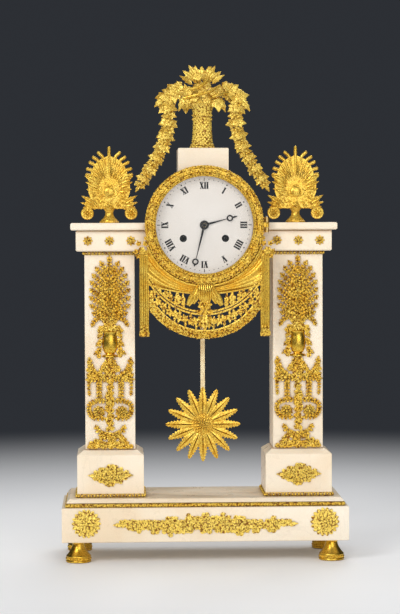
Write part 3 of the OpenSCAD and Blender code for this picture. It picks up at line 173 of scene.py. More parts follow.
class Mould:
    """Gathers the points and faces of one cast piece, in millimetres."""

    def __init__(self, points=(), faces=()):
        self.points = list(points)
        self.faces = list(faces)

    def skin(self, rings):
        """Joins closed rings of points by quads and closes both ends."""
        first = len(self.points)
        count = len(rings[0])
        for ring in rings:
            self.points.extend(ring)
        for low in range(first, len(self.points) - count, count):
            for i in range(count):
                j = (i + 1) % count
                self.faces.append((low + i, low + j, low + count + j, low + count + i))
        end = len(self.points)
        self.faces.append(tuple(range(first, first + count)))
        self.faces.append(tuple(range(end - count, end)))

    def tube(self, line, radius, sides=8, flat=1.0):
        """Bar along a line; radius is a number or a function of the way, flat thins it to the front."""
        last = len(line) - 1
        side = (line[1] - line[0]).normalized().orthogonal()
        rings = []
        for k, p in enumerate(line):
            along = (line[min(k + 1, last)] - line[max(k - 1, 0)]).normalized()
            side = (side - along * side.dot(along)).normalized()
            other = along.cross(side)
            r = radius(k / last) if callable(radius) else radius
            arms = [(side * cos(a) + other * sin(a)) * r for a in turns(sides)]
            rings.append([p + arm - FRONT * arm.dot(FRONT) * (1 - flat) for arm in arms])
        self.skin(rings)

    def lathe(self, base, profile, out=UP, sides=32):
        """Turned shape: pairs of radius and height along out."""
        arms = ways(out, sides)
        self.skin([[base + out * h + arm * max(r, 0.01) for arm in arms] for r, h in profile])

    def ball(self, centre, radius, out=FRONT, height=1.0, sides=8):
        """Bead or boss; height flattens it along out."""
        arcs = [pi * k / 5 for k in range(6)]
        self.lathe(centre, [(radius * sin(a), -radius * height * cos(a)) for a in arcs], out, sides)

    def leaf(self, root, tip, width, out=FRONT, thick=1.2, lobes=0, bow=0.12, peak=0.42, blunt=0.06,
             notch=0.42, section=LEAF, sharp=1.0, steps=7, outline=None):
        """Leaf, petal or ray from root to tip. Lobes cut its edge, bow lifts its middle along out."""
        along = tip - root
        out = (out - along * (out.dot(along) / along.length_squared)).normalized()
        side = along.cross(out).normalized()
        shares = [k / steps for k in range(steps + 1)]
        if lobes:
            shares = [0.0] + [(k + f) / lobes for k in range(lobes) for f in (0.05, 0.6, 0.95)] + [1.0]
        rings = []
        for t in shares:
            if outline:
                half = outline(t)
            elif t < peak:
                half = sin(pi / 2 * t / peak)
            else:
                half = cos(pi / 2 * (t - peak) / (1 - peak)) ** sharp
            if lobes and 0 < t < 1:
                half *= 1 - notch * (1 - (t * lobes) % 1)
            half = width / 2 * max(half, blunt)
            depth = thick * (0.35 + 0.65 * max(sin(pi * min(t + 0.15, 1)), 0))
            middle = root + along * t + out * (bow * along.length * sin(pi * t))
            rings.append([middle + side * half * s + out * depth * h for s, h in section])
        self.skin(rings)

    def flower(self, centre, radius, out=FRONT, petals=6, layers=2, cup=0.25, turn=0.0, thick=None):
        """Open flower: layers of parted petals that stand up towards a round heart."""
        for layer in range(layers):
            reach = radius * (1 - 0.4 * layer)
            lift = radius * 0.14 * layer
            rise = lift + cup * reach * (0.4 + 0.5 * layer)
            width = 1.6 * reach * sin(pi / petals)
            for way in ways(out, petals, turn + pi / petals * layer):
                root = centre + way * reach * 0.15 + out * lift
                tip = centre + way * reach + out * rise
                self.leaf(root, tip, width, out, thick or radius * 0.2, peak=0.6, blunt=0.2, steps=4,
                          section=SPRIG)
        self.ball(centre + out * radius * (0.06 + 0.14 * layers), radius * 0.24, out, 0.9)

    def ring_of_petals(self, centre, radius, inner, count, thick, lift=0.0, turn=0.0):
        """Flat ring of pointed petals that faces the front."""
        heart = centre + FRONT * lift
        width = 0.9375 * (radius + inner) * sin(pi / count)
        for way in ways(FRONT, count, turn):
            self.leaf(heart + way * inner, heart + way * radius, width, FRONT, thick, bow=0.1, peak=0.55,
                      blunt=0.22, steps=5)

    def ivy(self, centre, size, out=FRONT, turn=0.0, thick=None, points=5, wide=0.62):
        """Leaf with three or five points, each with its vein."""
        for a, share in IVY[:points]:
            way = ways(out, 1, turn + radians(a))[0]
            self.leaf(centre - way * size * 0.1, centre + way * size * share, size * wide, out,
                      thick or size * 0.2, bow=0.1, peak=0.38, steps=4, section=SPRIG)

    def frond(self, line, half, spacing):
        """Leafy branch: a flat core with leaflets in pairs; half gives its half width along the way."""
        self.tube(line, lambda t: max(half(t) * 0.3, 0.6), flat=0.5)
        total = len(line) - 1
        pairs = max(2, round(sum((b - a).length for a, b in zip(line, line[1:])) / spacing))
        for k in range(pairs):
            t = (k + 0.3) / pairs
            i = min(int(total * t), total - 1)
            root = line[i].lerp(line[i + 1], total * t - i)
            along = (line[i + 1] - line[i]).normalized()
            lift, nod = (1.6, 0.25) if k % 2 else (1.0, -0.1)
            for hand in SIDES:
                side = along.cross(FRONT).normalized() * hand
                way = along * cos(LEAFLET) + side * sin(LEAFLET)
                tilt = (FRONT + side * 0.2 + along * nod).normalized()
                self.leaf(root + FRONT * 0.9, root + way * (half(t) / sin(LEAFLET)) + FRONT * lift,
                          spacing * 0.84, tilt, 1.0, peak=0.5, blunt=0.1, steps=4, section=SPRIG)
        end = line[-1]
        reach = (end - line[-2]).normalized() * half(1)
        self.leaf(end - reach * 0.6, end + reach * 1.1, max(1.6, 1.2 * half(1)), thick=1.0, steps=4)

    def settle(self, face, relief):
        """Flattens what stands in front of a face until the highest point has the given relief."""
        highest = max(face - p.y for p in self.points)
        if highest > relief:
            for p in self.points:
                p.y = face - (face - p.y) * relief / highest

    def copy(self, offset=Vector(), x=1, y=1):
        """Copy of the mould at another place; x or y of -1 mirrors it."""
        return Mould([vec(p.x * x, p.y * y, p.z) + offset for p in self.points], self.faces)

    def add(self, other):
        """Takes in the shapes of another mould."""
        first = len(self.points)
        self.points.extend(other.points)
        self.faces.extend([tuple(i + first for i in face) for face in other.faces])


def tilted(draw, side, low, high):
    """Direction to the front, leaning at random."""
    return vec(draw.uniform(-side, side), -1, draw.uniform(low, high)).normalized()


def leafage(mould, inside, half_w, half_h, pitch, size, at, draw):
    """Packs small leaves, flowers and berries where inside holds."""
    spots = []
    rows = int(half_h / (0.87 * pitch))
    columns = int(half_w / pitch) + 1
    for row in range(-rows, rows + 1):
        for column in range(-columns, columns + 1):
            x = (column + 0.5 * (row % 2)) * pitch + draw.uniform(-0.16, 0.16) * pitch
            z = row * 0.87 * pitch + draw.uniform(-0.16, 0.16) * pitch
            if inside(abs(x), z):
                spots.append((x, z))
    for k, (x, z) in enumerate(spots):
        turn = draw.uniform(0, 2 * pi)
        lift = draw.uniform(0.5, 1.7)
        tilt = tilted(draw, 0.6, -0.5, 0.6)
        mould.ball(at(x, z, 0.2), size * 0.95, FRONT, 0.3, 7)
        if k % 4 == 0:
            mould.flower(at(x, z, lift), size * 0.95, tilt, 5, 1, 0.2, turn)
        else:
            mould.ivy(at(x, z, lift), size * draw.uniform(1.0, 1.25), tilt, turn, points=3)
        if k % 2:
            mould.ball(at(x + size * 0.8, z + size * 0.4, lift + 0.5), size * 0.3, FRONT, 1, 6)


def on_pillars(one, flip=1):
    """A mould on both pillars, with the right one mirrored by a flip of -1."""
    both = one.copy(vec(-PILLAR_X, 0, 0))
    both.add(one.copy(vec(PILLAR_X, 0, 0), flip))
    return both


# Edges sharper than this, in degrees, stay sharp on a cast piece
CREASE = 50
# Width of the rounded arrises of the marble, and the least angle of an edge that is rounded
ARRIS = 0.7
ARRIS_ANGLE = radians(35)


def put(name, data):
    """New object in the scene."""
    obj = bpy.data.objects.new(name, data)
    bpy.context.scene.collection.objects.link(obj)
    return obj


def show(name, mesh, finish, body, replaced, crease=None):
    """Makes the object of a mesh: it rides on a body and may stand for nodes of the frame."""
    mesh.polygons.foreach_set("use_smooth", [True] * len(mesh.polygons))
    if crease:
        mesh.set_sharp_from_angle(angle=radians(crease))
    mesh.materials.append(finish)
    obj = put(name, mesh)
    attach(obj, body)
    if replaced:
        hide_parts(*replaced)
    return obj


def piece(name, mould, finish, replaced=(), body="case"):
    """Makes the object of a mould."""
    mesh = bpy.data.meshes.new(name)
    mesh.from_pydata([p * MM for p in mould.points], [], mould.faces)
    shell = bmesh.new()
    shell.from_mesh(mesh)
    bmesh.ops.recalc_face_normals(shell, faces=shell.faces)
    shell.to_mesh(mesh)
    shell.free()
    show(name, mesh, finish, body, replaced, crease=CREASE)


def cut_block(node, finish):
    """Copy of a solid with rounded arrises, which stands for it."""
    shell = bmesh.new()
    shell.from_mesh(frame["nodes"][node].data)
    bmesh.ops.remove_doubles(shell, verts=shell.verts, dist=1e-6)
    bmesh.ops.dissolve_limit(shell, angle_limit=radians(1), verts=shell.verts, edges=shell.edges)
    mesh = bpy.data.meshes.new(node + "_block")
    shell.to_mesh(mesh)
    shell.free()
    obj = show(node + "_block", mesh, finish, frame["nodes"][node]["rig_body"], [node])
    bevel = obj.modifiers.new("Arris", "BEVEL")
    bevel.width = ARRIS * MM
    bevel.segments = 3
    bevel.limit_method = "ANGLE"
    bevel.angle_limit = ARRIS_ANGLE
    bevel.harden_normals = True


# Materials

def feed(tree, node, inputs):
    """Sets or links inputs of a shader node."""
    for key, value in inputs.items():
        if isinstance(value, bpy.types.NodeSocket):
            tree.links.new(value, node.inputs[key])
        else:
            node.inputs[key].default_value = value


def add_node(tree, kind, inputs, **settings):
    """Shader node with its settings, values and links."""
    made = tree.nodes.new("ShaderNode" + kind)
    for key, value in settings.items():
        setattr(made, key, value)
    feed(tree, made, inputs)
    return made


class Finish:
    """Material in the making; its patterns follow the place on the clock."""

    def __init__(self, name):
        self.material = bpy.data.materials.new(name)
        self.material.use_nodes = True
        self.tree = self.material.node_tree
        self.shader = self.tree.nodes["Principled BSDF"]
        self.place = self.node("TexCoord", {}).outputs["Object"]

    def node(self, kind, inputs, **settings):
        return add_node(self.tree, kind, inputs, **settings)

    def ramp(self, factor, *stops):
        """Colour ramp: stops are pairs of place and colour."""
        made = self.node("ValToRGB", {"Fac": factor})
        band = made.color_ramp.elements
        while len(band) < len(stops):
            band.new(0.5)
        for stop, (place, colour) in zip(band, stops):
            stop.position = place
            stop.color = (*colour, 1)
        return made.outputs["Color"]

    def noise(self, scale, detail, distortion=0.0, place=None):
        """Noise over the place on the clock; scale counts waves in a metre."""
        values = {"Vector": place or self.place, "Scale": scale, "Detail": detail, "Distortion": distortion}
        return self.node("TexNoise", values).outputs["Fac"]

    def product(self, colour, *others):
        """Colours multiplied by each other."""
        for other in others:
            values = {0: 1.0, 6: colour, 7: other}
            colour = self.node("Mix", values, data_type="RGBA", blend_type="MULTIPLY").outputs[2]
        return colour

    def between(self, factor, low, high):
        """Number that follows a factor between two ends."""
        return self.node("MapRange", {"Value": factor, "To Min": low, "To Max": high}).outputs["Result"]

    def recess(self, reach):
        """How open a place is, from 0 in a deep recess to 1 in the open."""
        return self.node("AmbientOcclusion", {"Distance": reach * MM}, samples=6).outputs["AO"]

    def bump(self, height, strength, distance):
        """Normal that follows a height."""
        values = {"Height": height, "Strength": strength, "Distance": distance * MM}
        return self.node("Bump", values).outputs["Normal"]

    def made(self, colour, roughness, normal, **others):
        """The material, with the values of its shader set."""
        feed(self.tree, self.shader, {"Base Color": colour, "Roughness": roughness, "Normal": normal})
        feed(self.tree, self.shader, {key.replace("_", " "): value for key, value in others.items()})
        return self.material


def marble_finish():
    """Polished white statuary marble: warm cream clouds, a few faint veins, and painted warm shade in the
    corners.
    """
    f = Finish("marble")
    faint = (0.95, 0.945, 0.94)
    clouds = f.ramp(f.noise(11, 5, 0.5), (0.3, (0.82, 0.65, 0.44)), (0.5, (0.88, 0.745, 0.56)),
                    (0.72, (0.90, 0.80, 0.65)))
    veins = f.ramp(f.noise(13, 8, 1.6), (0.485, WHITE), (0.5, faint), (0.515, WHITE))
    crystals = f.ramp(f.noise(800, 2), (0.3, faint), (0.7, WHITE))
    # Painted shade: corners and recesses darken to a warm brown by how open each place is.
    painted_recess_shade = f.ramp(f.recess(7), (0.3, (0.62, 0.48, 0.32)), (0.85, WHITE))
    polish = f.between(f.noise(60, 4), 0.2, 0.4)
    return f.made(f.product(clouds, veins, crystals, painted_recess_shade), polish, f.bump(f.noise(420, 4), 0.12, 0.15),
                  Subsurface_Weight=0.1, Subsurface_Radius=(1.0, 0.7, 0.5), Subsurface_Scale=0.003)


# Painted shade in the hollows of the punched ground: colour darkens where the grain bump is lowest.
SOFT_PIT_SHADE = ((0.35, WHITE), (0.85, (0.56, 0.42, 0.26)))
DEEP_PIT_SHADE = ((0.52, WHITE), (0.74, (0.3, 0.16, 0.05)))


def gilt_finish(name, light, deep, shadow, rough, punch, grain, metal, fleck, marks=SOFT_PIT_SHADE):
    """Fire-gilt bronze: warm tone changes, a ground matted by fine punch marks, painted shade in the recesses
    and in the hollows of the marks, and dark flecks, partly patina and partly painted shade.
    """
    f = Finish("gilt_" + name)
    tone = f.ramp(f.noise(90, 4, 0.4), (0.32, deep), (0.66, light))
    # Painted shade: recesses darken towards the shadow colour.
    painted_cavity_shade = f.ramp(f.recess(2.6), (0.14, shadow), (0.48, WHITE))
    pits = f.node("TexVoronoi", {"Vector": f.place, "Scale": punch}).outputs["Distance"]
    # Dark flecks at random: partly patina, partly painted shade for the recesses of the chasing.
    patina_and_shade_flecks = f.ramp(f.noise(320, 1), (fleck - 0.08, (0.26, 0.13, 0.03)), (fleck, WHITE))
    height = f.node("Math", {0: 1.0, 1: pits}, operation="SUBTRACT").outputs[0]
    wear = f.between(f.noise(180, 3), rough - 0.08, rough + 0.1)
    return f.made(f.product(tone, painted_cavity_shade, f.ramp(pits, *marks), patina_and_shade_flecks), wear, f.bump(height, 0.7, grain),
                  Metallic=metal)


def metal_finish(name, light, dark, rough, lines, metal=1.0):
    """Worked metal of the movement: fine turning or filing lines, slight tarnish, and painted shade in its
    recesses.
    """
    f = Finish(name)
    tone = f.ramp(f.noise(120, 4), (0.3, dark), (0.7, light))
    # Painted shade: recesses darken by how open each place is.
    painted_recess_shade = f.ramp(f.recess(1.5), (0.1, (0.4, 0.36, 0.3)), (0.6, WHITE))
    stretched = f.node("Mapping", {"Vector": f.place, "Scale": (1, 1, lines)}).outputs["Vector"]
    grain = f.noise(240, 3, 0.0, stretched)
    wear = f.between(grain, rough - 0.06, rough + 0.12)
    return f.made(f.product(tone, painted_recess_shade), wear, f.bump(grain, 0.15, 0.05), Metallic=metal)


def enamel_finish():
    """White fired enamel with a faint orange-peel gloss and a warm drift."""
    f = Finish("enamel")
    tone = f.ramp(f.noise(18, 3), (0.3, (0.71, 0.65, 0.58)), (0.7, (0.765, 0.71, 0.645)))
    gloss = f.between(f.noise(90, 2), 0.12, 0.2)
    return f.made(tone, gloss, f.bump(f.noise(300, 2), 0.06, 0.05), Coat_Weight=0.4)


def black_finish(name, rough):
    """Black of the hands and figures, a little worn."""
    f = Finish(name)
    tone = f.ramp(f.noise(400, 3), (0.3, (0.006, 0.006, 0.007)), (0.75, (0.022, 0.02, 0.02)))
    feed(f.tree, f.shader, {"Base Color": tone, "Specular IOR Level": 0.15,
                            "Roughness": f.between(f.noise(300, 2), rough, rough + 0.15)})
    return f.material


def glass_finish():
    """Thin clear glass with slight unevenness."""
    f = Finish("glass")
    gloss = f.between(f.noise(40, 3), 0.01, 0.05)
    return f.made((0.30, 0.31, 0.31, 1), gloss, f.bump(f.noise(25, 2), 0.02, 0.3), Alpha=0.05)


MARBLE = marble_finish()
GOLD = (1.0, 0.72, 0.12)
DEEP_GOLD = (0.95, 0.59, 0.06)
# Painted light: a lighter copy of the gold for gilt that the light strikes more brightly.
BRIGHTLY_LIT_GOLD = (1.0, 0.75, 0.15)
BURNISHED = gilt_finish("burnished", GOLD, DEEP_GOLD, (0.2, 0.08, 0.015), 0.3, 900, 0.02, 1.0, 0.24)
SATIN = gilt_finish("satin", GOLD, DEEP_GOLD, (0.36, 0.18, 0.04), 0.32, 900, 0.03, 0.7, 0.2)
CLEAN = gilt_finish("clean", GOLD, DEEP_GOLD, (0.12, 0.05, 0.01), 0.34, 700, 0.1, 0.6, 0.2)
MATT = gilt_finish("matted", GOLD, DEEP_GOLD, (0.12, 0.05, 0.01), 0.32, 540, 0.45, 0.42, 0.26,
                   DEEP_PIT_SHADE)
# Painted light: lighter copies of the gilt, with lighter painted shade, for the garlands, bouquet, basket and
# the base and pedestal mounts.
BRIGHTLY_LIT_GILT = gilt_finish("brightly_lit", BRIGHTLY_LIT_GOLD, GOLD, (0.44, 0.24, 0.06), 0.3, 700, 0.1, 0.4, 0.12)
BRIGHTLY_LIT_MATT = gilt_finish("brightly_lit_matted", BRIGHTLY_LIT_GOLD, GOLD, (0.2, 0.09, 0.02), 0.32, 540, 0.45, 0.36, 0.2,
                        DEEP_PIT_SHADE)
PALE_BRASS = metal_finish("rod_brass", (0.98, 0.84, 0.54), (0.74, 0.54, 0.28), 0.3, 0.1, 0.55)
BLACK = black_finish("blackened_steel", 0.32)
PAINT = black_finish("dial_black", 0.4)

# Finish of each slot in the record, and of nodes with one of their own
SLOT_FINISH = {
    "gilt_bronze": SATIN, "marble": MARBLE, "enamel": enamel_finish(), "glass": glass_finish(),
    "blackened_steel": BLACK,
    "case_brass": metal_finish("case_brass", (0.86, 0.62, 0.24), (0.70, 0.46, 0.16), 0.3, 0.1),
    "movement_brass": metal_finish("movement_brass", (0.84, 0.66, 0.32), (0.70, 0.50, 0.20), 0.28, 12),
    "steel": metal_finish("steel", (0.56, 0.56, 0.57), (0.40, 0.40, 0.41), 0.3, 14),
    "bell_metal": metal_finish("bell_metal", (0.66, 0.58, 0.40), (0.50, 0.42, 0.26), 0.25, 1),
}
OWN_FINISH = {"pendulum_rod": PALE_BRASS, "going_arbor": BLACK, "strike_arbor": BLACK}


def finish_nodes():
    """Every node of the frame takes the finish of its slot in the record."""
    for part in frame["record"]["subparts"]:
        mesh = frame["nodes"][part["node"]].data
        mesh.materials.clear()
        mesh.materials.append(OWN_FINISH.get(part["node"]) or SLOT_FINISH[part["material_slot"]])


def marble_blocks():
    """Every block of the portico, with its arrises rounded."""
    for node in ("base_plinth", "base_step", "left_pedestal", "right_pedestal", "left_shaft", "right_shaft",
                 "left_capital", "right_capital", "cornices", "attic_block"):
        cut_block(node, MARBLE)


# Base mounts

FOOT_R = 13.5
FOOT_PROFILE = (
    (0, 0), (12.6, 0), (13.2, 0.5), (13.4, 1.6), (12.9, 2.3), (12.5, 2.5), (12.5, 5.2), (12.9, 5.5),
    (13.2, 6.2), (12.8, 7), (11.8, 8), (10.4, 9.6), (8.6, 12.2), (7.2, 15), (6.4, 17.5), (6.1, 19),
    (6.6, 19.6), (7.2, 20.4), (7.2, PLINTH_Z), (0, PLINTH_Z))


def feet():
    """Bell-shaped feet with a beaded band."""
    low, high = cad_box("feet")
    mould = Mould()
    for x in (low.x + FOOT_R, high.x - FOOT_R):
        for y in (low.y + FOOT_R, high.y - FOOT_R):
            mould.lathe(vec(x, y, 0), FOOT_PROFILE, UP, 40)
            for way in ways(UP, 26):
                mould.ball(vec(x, y, 3.85) + way * 12.4, 1.25, way)
            for way in ways(UP, 12):
                mould.leaf(vec(x, y, 8.2) + way * 11.2, vec(x, y, 17) + way * 6.3, 3.6, way, 0.7, bow=-0.12)
    piece("turned_feet", mould, BURNISHED, ["feet"])


def edges(low, high, z):
    """Ends, direction and outward side of the four edges of a level rectangle."""
    corners = [vec(low.x, low.y, z), vec(high.x, low.y, z), vec(high.x, high.y, z), vec(low.x, high.y, z)]
    for a, b in zip(corners, corners[1:] + corners[:1]):
        along = (b - a).normalized()
        yield a, b, along, along.cross(UP)


def step_moulding():
    """Gilt strip of slanting laurel leaves between two fillets."""
    low, high = cad_box("step_moulding")
    inset = vec(1.2, 1.2, 0)
    pitch = 3.4
    mould = Mould()
    for a, b, along, out in edges(low + inset, high - inset, low.z + 2):
        for height, radius in ((-1.55, 0.45), (1.55, 0.45), (0, 0.9)):
            mould.tube([a + UP * height, b + UP * height], radius, 6)
        pairs = round((b - a).length / pitch)
        for k in range(pairs):
            root = a + (b - a) * ((k + 0.1) / pairs)
            for hand in SIDES:
                tip = root + along * pitch + UP * 1.3 * hand + out * 0.6
                mould.leaf(root + out * 0.5, tip, 1.5, out, 0.5)
    piece("step_laurel", mould, MATT, ["step_moulding"])


def base_garland():
    """Garland of flowers and leaves along the plinth, in swelling clusters."""
    low, high = cad_box("base_garland")
    half = high.x
    at = on_face(high.y, (low.z + high.z) / 2, 0.4)
    mould = Mould()

    def inside(x, z):
        share = x / half
        swell = 9.6 if share < 0.46 else 6.4 if share < 0.8 else 6.4 * (0.98 - share) / 0.18
        return abs(z - 1.2 * cos(x * 0.065)) < swell * (0.88 + 0.2 * cos(x * 0.36))

    leafage(mould, inside, half, 12, 3.9, 2.9, at, random.Random(7))
    for hand in SIDES:
        mould.leaf(at(hand * (half - 11), 0), at(hand * half, 0.5, 0.6), 5.5, lobes=3)
        mould.tube([at(hand * (half - 16), 0), at(hand * (half - 5), 0)], 0.9, 6)
    mould.settle(high.y, 2.45)
    piece("plinth_garland", mould, BRIGHTLY_LIT_MATT, ["base_garland"])


def base_rosettes():
    """Round dahlias in rings of petals."""
    low, high = cad_box("base_rosettes")
    radius = (high.z - low.z) / 2
    mould = Mould()
    for x in (low.x + radius, high.x - radius):
        centre = vec(x, high.y - 0.3, low.z + radius)
        mould.ball(centre, radius * 0.88, FRONT, 0.03, 24)
        for k, (share, count) in enumerate(((1.0, 18), (0.78, 15), (0.56, 11), (0.36, 7))):
            reach = radius * share
            mould.ring_of_petals(centre, reach + 0.8, reach - radius * 0.3, count, 1.0, 0.35 * k, 0.2 * k)
        mould.ball(centre + FRONT * 1.4, radius * 0.13)
    mould.settle(high.y, 2.4)
    piece("plinth_rosettes", mould, BRIGHTLY_LIT_MATT, ["base_rosettes"])


# Pillar mounts

def bead_frames(name, node, half, radius, spacing):
    """Row of beads on a fillet round each pillar."""
    low, high = cad_box(node)
    mould = Mould()
    for side in SIDES:
        first, last = [vec(side * PILLAR_X + k * half, k * half, 0) for k in SIDES]
        for a, b, along, out in edges(first, last, (low.z + high.z) / 2):
            count = max(1, round((b - a).length / spacing))
            for k in range(count):
                mould.ball(a + out * (radius - 0.2) + (b - a) * ((k + 0.5) / count), radius, out)
            for height in (-1.6, 1.6):
                mould.tube([a + UP * height + out * 0.2, b + UP * height + out * 0.2], 0.4, 6)
            mould.ball(b + (out + along) * (radius * 0.6), radius, (out + along).normalized())
    piece(name, mould, MATT, [node])


def pillar_beads():
    """Beads round the feet of the pedestals and under the capitals."""
    bead_frames("pedestal_beads", "pedestal_beadings", (PEDESTAL_HIGH.x - PEDESTAL_LOW.x) / 2, 1.3, 3.3)
    bead_frames("capital_beads", "capital_beadings", (SHAFT_HIGH.x - SHAFT_LOW.x) / 2, 1.35, 3.6)


def pedestal_mounts():
    """Lozenge packed with leaves and small flowers."""
    low, high = cad_box("pedestal_mounts")
    half_w = high.x - PILLAR_X
    half_h = 11.0
    at = on_face(high.y, (low.z + high.z) / 2, 0.3)
    one = Mould()

    def inside(x, z):
        return (x / half_w) ** 1.3 + (abs(z) / half_h) ** 1.3 < 0.92

    leafage(one, inside, half_w, half_h, 3.6, 2.7, at, random.Random(5))
    for hand in SIDES:
        one.leaf(at(hand * 13, 0), at(hand * (half_w + 1.6), 0.3, 0.6), 5, lobes=3, thick=1.0)
        one.leaf(at(hand * 3, hand * 5), at(hand * 6, hand * half_h, 0.6), 4, lobes=3, thick=1.0)
    one.settle(high.y, 3.4)
    piece("pedestal_leaves", on_pillars(one), BRIGHTLY_LIT_MATT, ["pedestal_mounts"])


MOUNT_FOOT = SHAFT_LOW.z + 2.0
# Spray at the top of the tall mount: height at the stem, reach and height of the tip of each leaf
SPRAY = ((139, 17, 142), (142, 19.6, 150), (148, 20, 158.5), (154, 19.6, 166.5), (160.5, 19, 174.5),
         (167.5, 17, 182), (175, 13.6, 189), (182.5, 9, 195))
# Packed leafage of the tall mount: middle height, half height and what lies inside
PACKED = (
    (8, 8.5, lambda x, z: x < 4 + 20 * min(1, max(9 - z, 0) / 15) ** 0.9
        and (x - 5.8) ** 2 + (z - 0.5) ** 2 >= 5),
    (36, 18, lambda x, z: x < 3.2),
    (61, 12, lambda x, z: x < 3.2),
    (85, 11, lambda x, z: x < 12.5 - 0.36 * (z + 11) and (x - 6.4) ** 2 + (z + 6.5) ** 2 > 5),
    (83, 10, lambda x, z: 17.5 + 0.5 * z < x < 23),
    (110, 13, lambda x, z: 8.8 < x < 11.8 - 0.14 * z),
    (130, 7.5, lambda x, z: x < 10 - 0.3 * z and (x - 7.2) ** 2 + z * z > 7),
    (156, 19, lambda x, z: x < 9 - 0.24 * z))
VASE = ((0, 0), (8.6, 0), (8.8, 0.8), (8, 2), (5.4, 2.6), (5, 3.4), (6.6, 5), (8, 9), (8.6, 14), (8.2, 20),
        (7, 24.4), (7.6, 25.6), (7.8, 26.4), (6.8, 27), (0, 27))


def shaft_mounts():
    """Tall arabesque: foot mound, horns, scrolls round flowers, trestle, leafy pyramid, vase and a spray."""
    face = cad_box("shaft_mounts")[1].y
    at = on_face(face, MOUNT_FOOT, 0.4)
    draw = random.Random(11)
    half = Mould()

    def way(*points):
        return spline([at(x, z) for x, z in points], 4)

    def limb(start, end, spacing, *points):
        half.frond(way(*points), lambda t: start + (end - start) * t, spacing)

    # Horns over the foot mound
    limb(4.2, 2.2, 3.6, (3, 13), (7, 14), (11, 16.5), (13.6, 19.5), (14.8, 22.5))
    half.tube([at(0, 0.6), at(24.4, 0.6)], 0.9)
    # Scrolls round their flowers
    limb(2.8, 2.6, 3.2, (0.5, 49), (9, 49.8), (16.5, 49), (21.4, 45.6), (22.2, 40), (20.4, 35), (15.6, 31.6),
         (7, 31.4))
    eye = at(12, 38)
    half.ball(eye, 6.2, FRONT, 0.16, 16)
    half.ring_of_petals(eye, 6.8, 3.0, 9, 1.5, 0.5)
    half.ring_of_petals(eye, 4.4, 1.2, 7, 1.3, 1.5, 0.3)
    half.ball(eye + FRONT * 2.6, 1.5)
    # Trestle and its legs
    limb(2.7, 2.7, 3.2, (0.5, 72.2), (8, 72.2), (16, 72.2), (23.2, 72.2))
    limb(3.3, 3.1, 3.2, (11.6, 71), (11.6, 65), (11.6, 58), (11.2, 51))
    limb(2.0, 1.4, 3.0, (22, 71), (22.4, 66), (22.2, 60), (21.8, 56))
    # Horns beside the pyramid
    limb(4.6, 2.6, 3.6, (10, 75), (15.5, 78), (19.6, 84), (21.6, 93.5))
    limb(2.4, 1.8, 3.0, (16, 75.5), (20, 75.5), (23.4, 77.5))
    # Leaves at the foot of the vase and under the spray
    limb(2.8, 1.8, 3.2, (9, 103), (12, 102), (15.8, 99.5))
    limb(2.6, 1.8, 3.2, (9, 112), (11, 111), (13.8, 108.4))
    limb(2.4, 1.8, 3.2, (8.4, 121), (10.2, 120), (12, 117))
    limb(3.2, 1.8, 3.6, (6, 138), (12, 137), (16.4, 133.6), (18.6, 129))
    for root, x, tip in SPRAY:
        line = spline([at(1.2, root, 2.8), at(x * 0.5, (root + tip) / 2 - 1, 2.4), at(x, tip, 0.6)], 4)
        half.frond(line, lambda t: 3.6 - 1.2 * t, 3.4)
    one = half.copy()
    one.add(half.copy(x=-1))
    one.frond(way((0, 184), (0, 190), (0, 196), (0, 200)), lambda t: 2.6, 3.2)
    one.tube(way((0, 139), (0, 160), (0, 184)), 1.2)
    for middle, tall, inside in PACKED:
        leafage(one, inside, 25, tall, 3.7, 2.8, on_face(face - 0.3, MOUNT_FOOT + middle), draw)
    one.settle(face, 5.6)
    piece("shaft_arabesques", on_pillars(one, -1), MATT, ["shaft_mounts"])
    # Smooth burnished vases
    vases = Mould()
    for side in SIDES:
        vases.lathe(vec(side * PILLAR_X, face + 2.2, MOUNT_FOOT + 96), VASE, UP, 24)
    vases.settle(face, 5.0)
    piece("shaft_vases", vases, BURNISHED)


def capital_rosettes():
    """Small eight-petalled flowers on the capitals."""
    low, high = cad_box("capital_rosettes")
    radius = (high.z - low.z) / 2
    spread = high.x - radius - PILLAR_X
    mould = Mould()
    for side in SIDES:
        for k in (-1, 0, 1):
            centre = vec(side * PILLAR_X + k * spread, high.y - 0.3, low.z + radius)
            mould.ring_of_petals(centre, radius, 1.6, 8, 0.9)
            mould.ring_of_petals(centre, radius * 0.62, 0.6, 7, 0.8, 0.6, 0.4)
            mould.ball(centre + FRONT * 1.2, radius * 0.2)
    piece("capital_flowers", mould, MATT, ["capital_rosettes"])


# Finials

# Ribs of the fan: angle and reach
PALMETTE_RAYS = ((0, 44.6), (16.6, 41), (27, 38.6), (36.5, 35.8), (48, 32.6), (59, 29.6))
PALMETTE_WEB = 0.78
PALMETTE_FOCUS = cad_box("right_palmette")[1].z - PILLAR_TOP - PALMETTE_RAYS[0][1]
PALMETTE_BAR = PALMETTE_FOCUS - 21.4
PALMETTE_FOOT = (
    (0, 0), (10.2, 0), (10.5, 0.8), (10.2, 1.8), (8.8, 2.4), (8.6, 3.4), (6.6, 5), (4.6, 8), (4.2, 11),
    (4.8, 13), (6, 14.4), (6, 15.6), (5, 16.4), (0, PALMETTE_BAR + 1))
DISC = ((0, 0), (6.2, 0), (6.8, 0.6), (6.8, 4.4), (6.2, 5.2), (4.6, 5.0), (0, 5.2))
BOSS = ((0, 0), (6.2, 0), (6.2, 1.4), (5.2, 2.8), (3, 3.6), (0, 3.9))
FINGER_BEND = 5
FINGER_R = 1.8


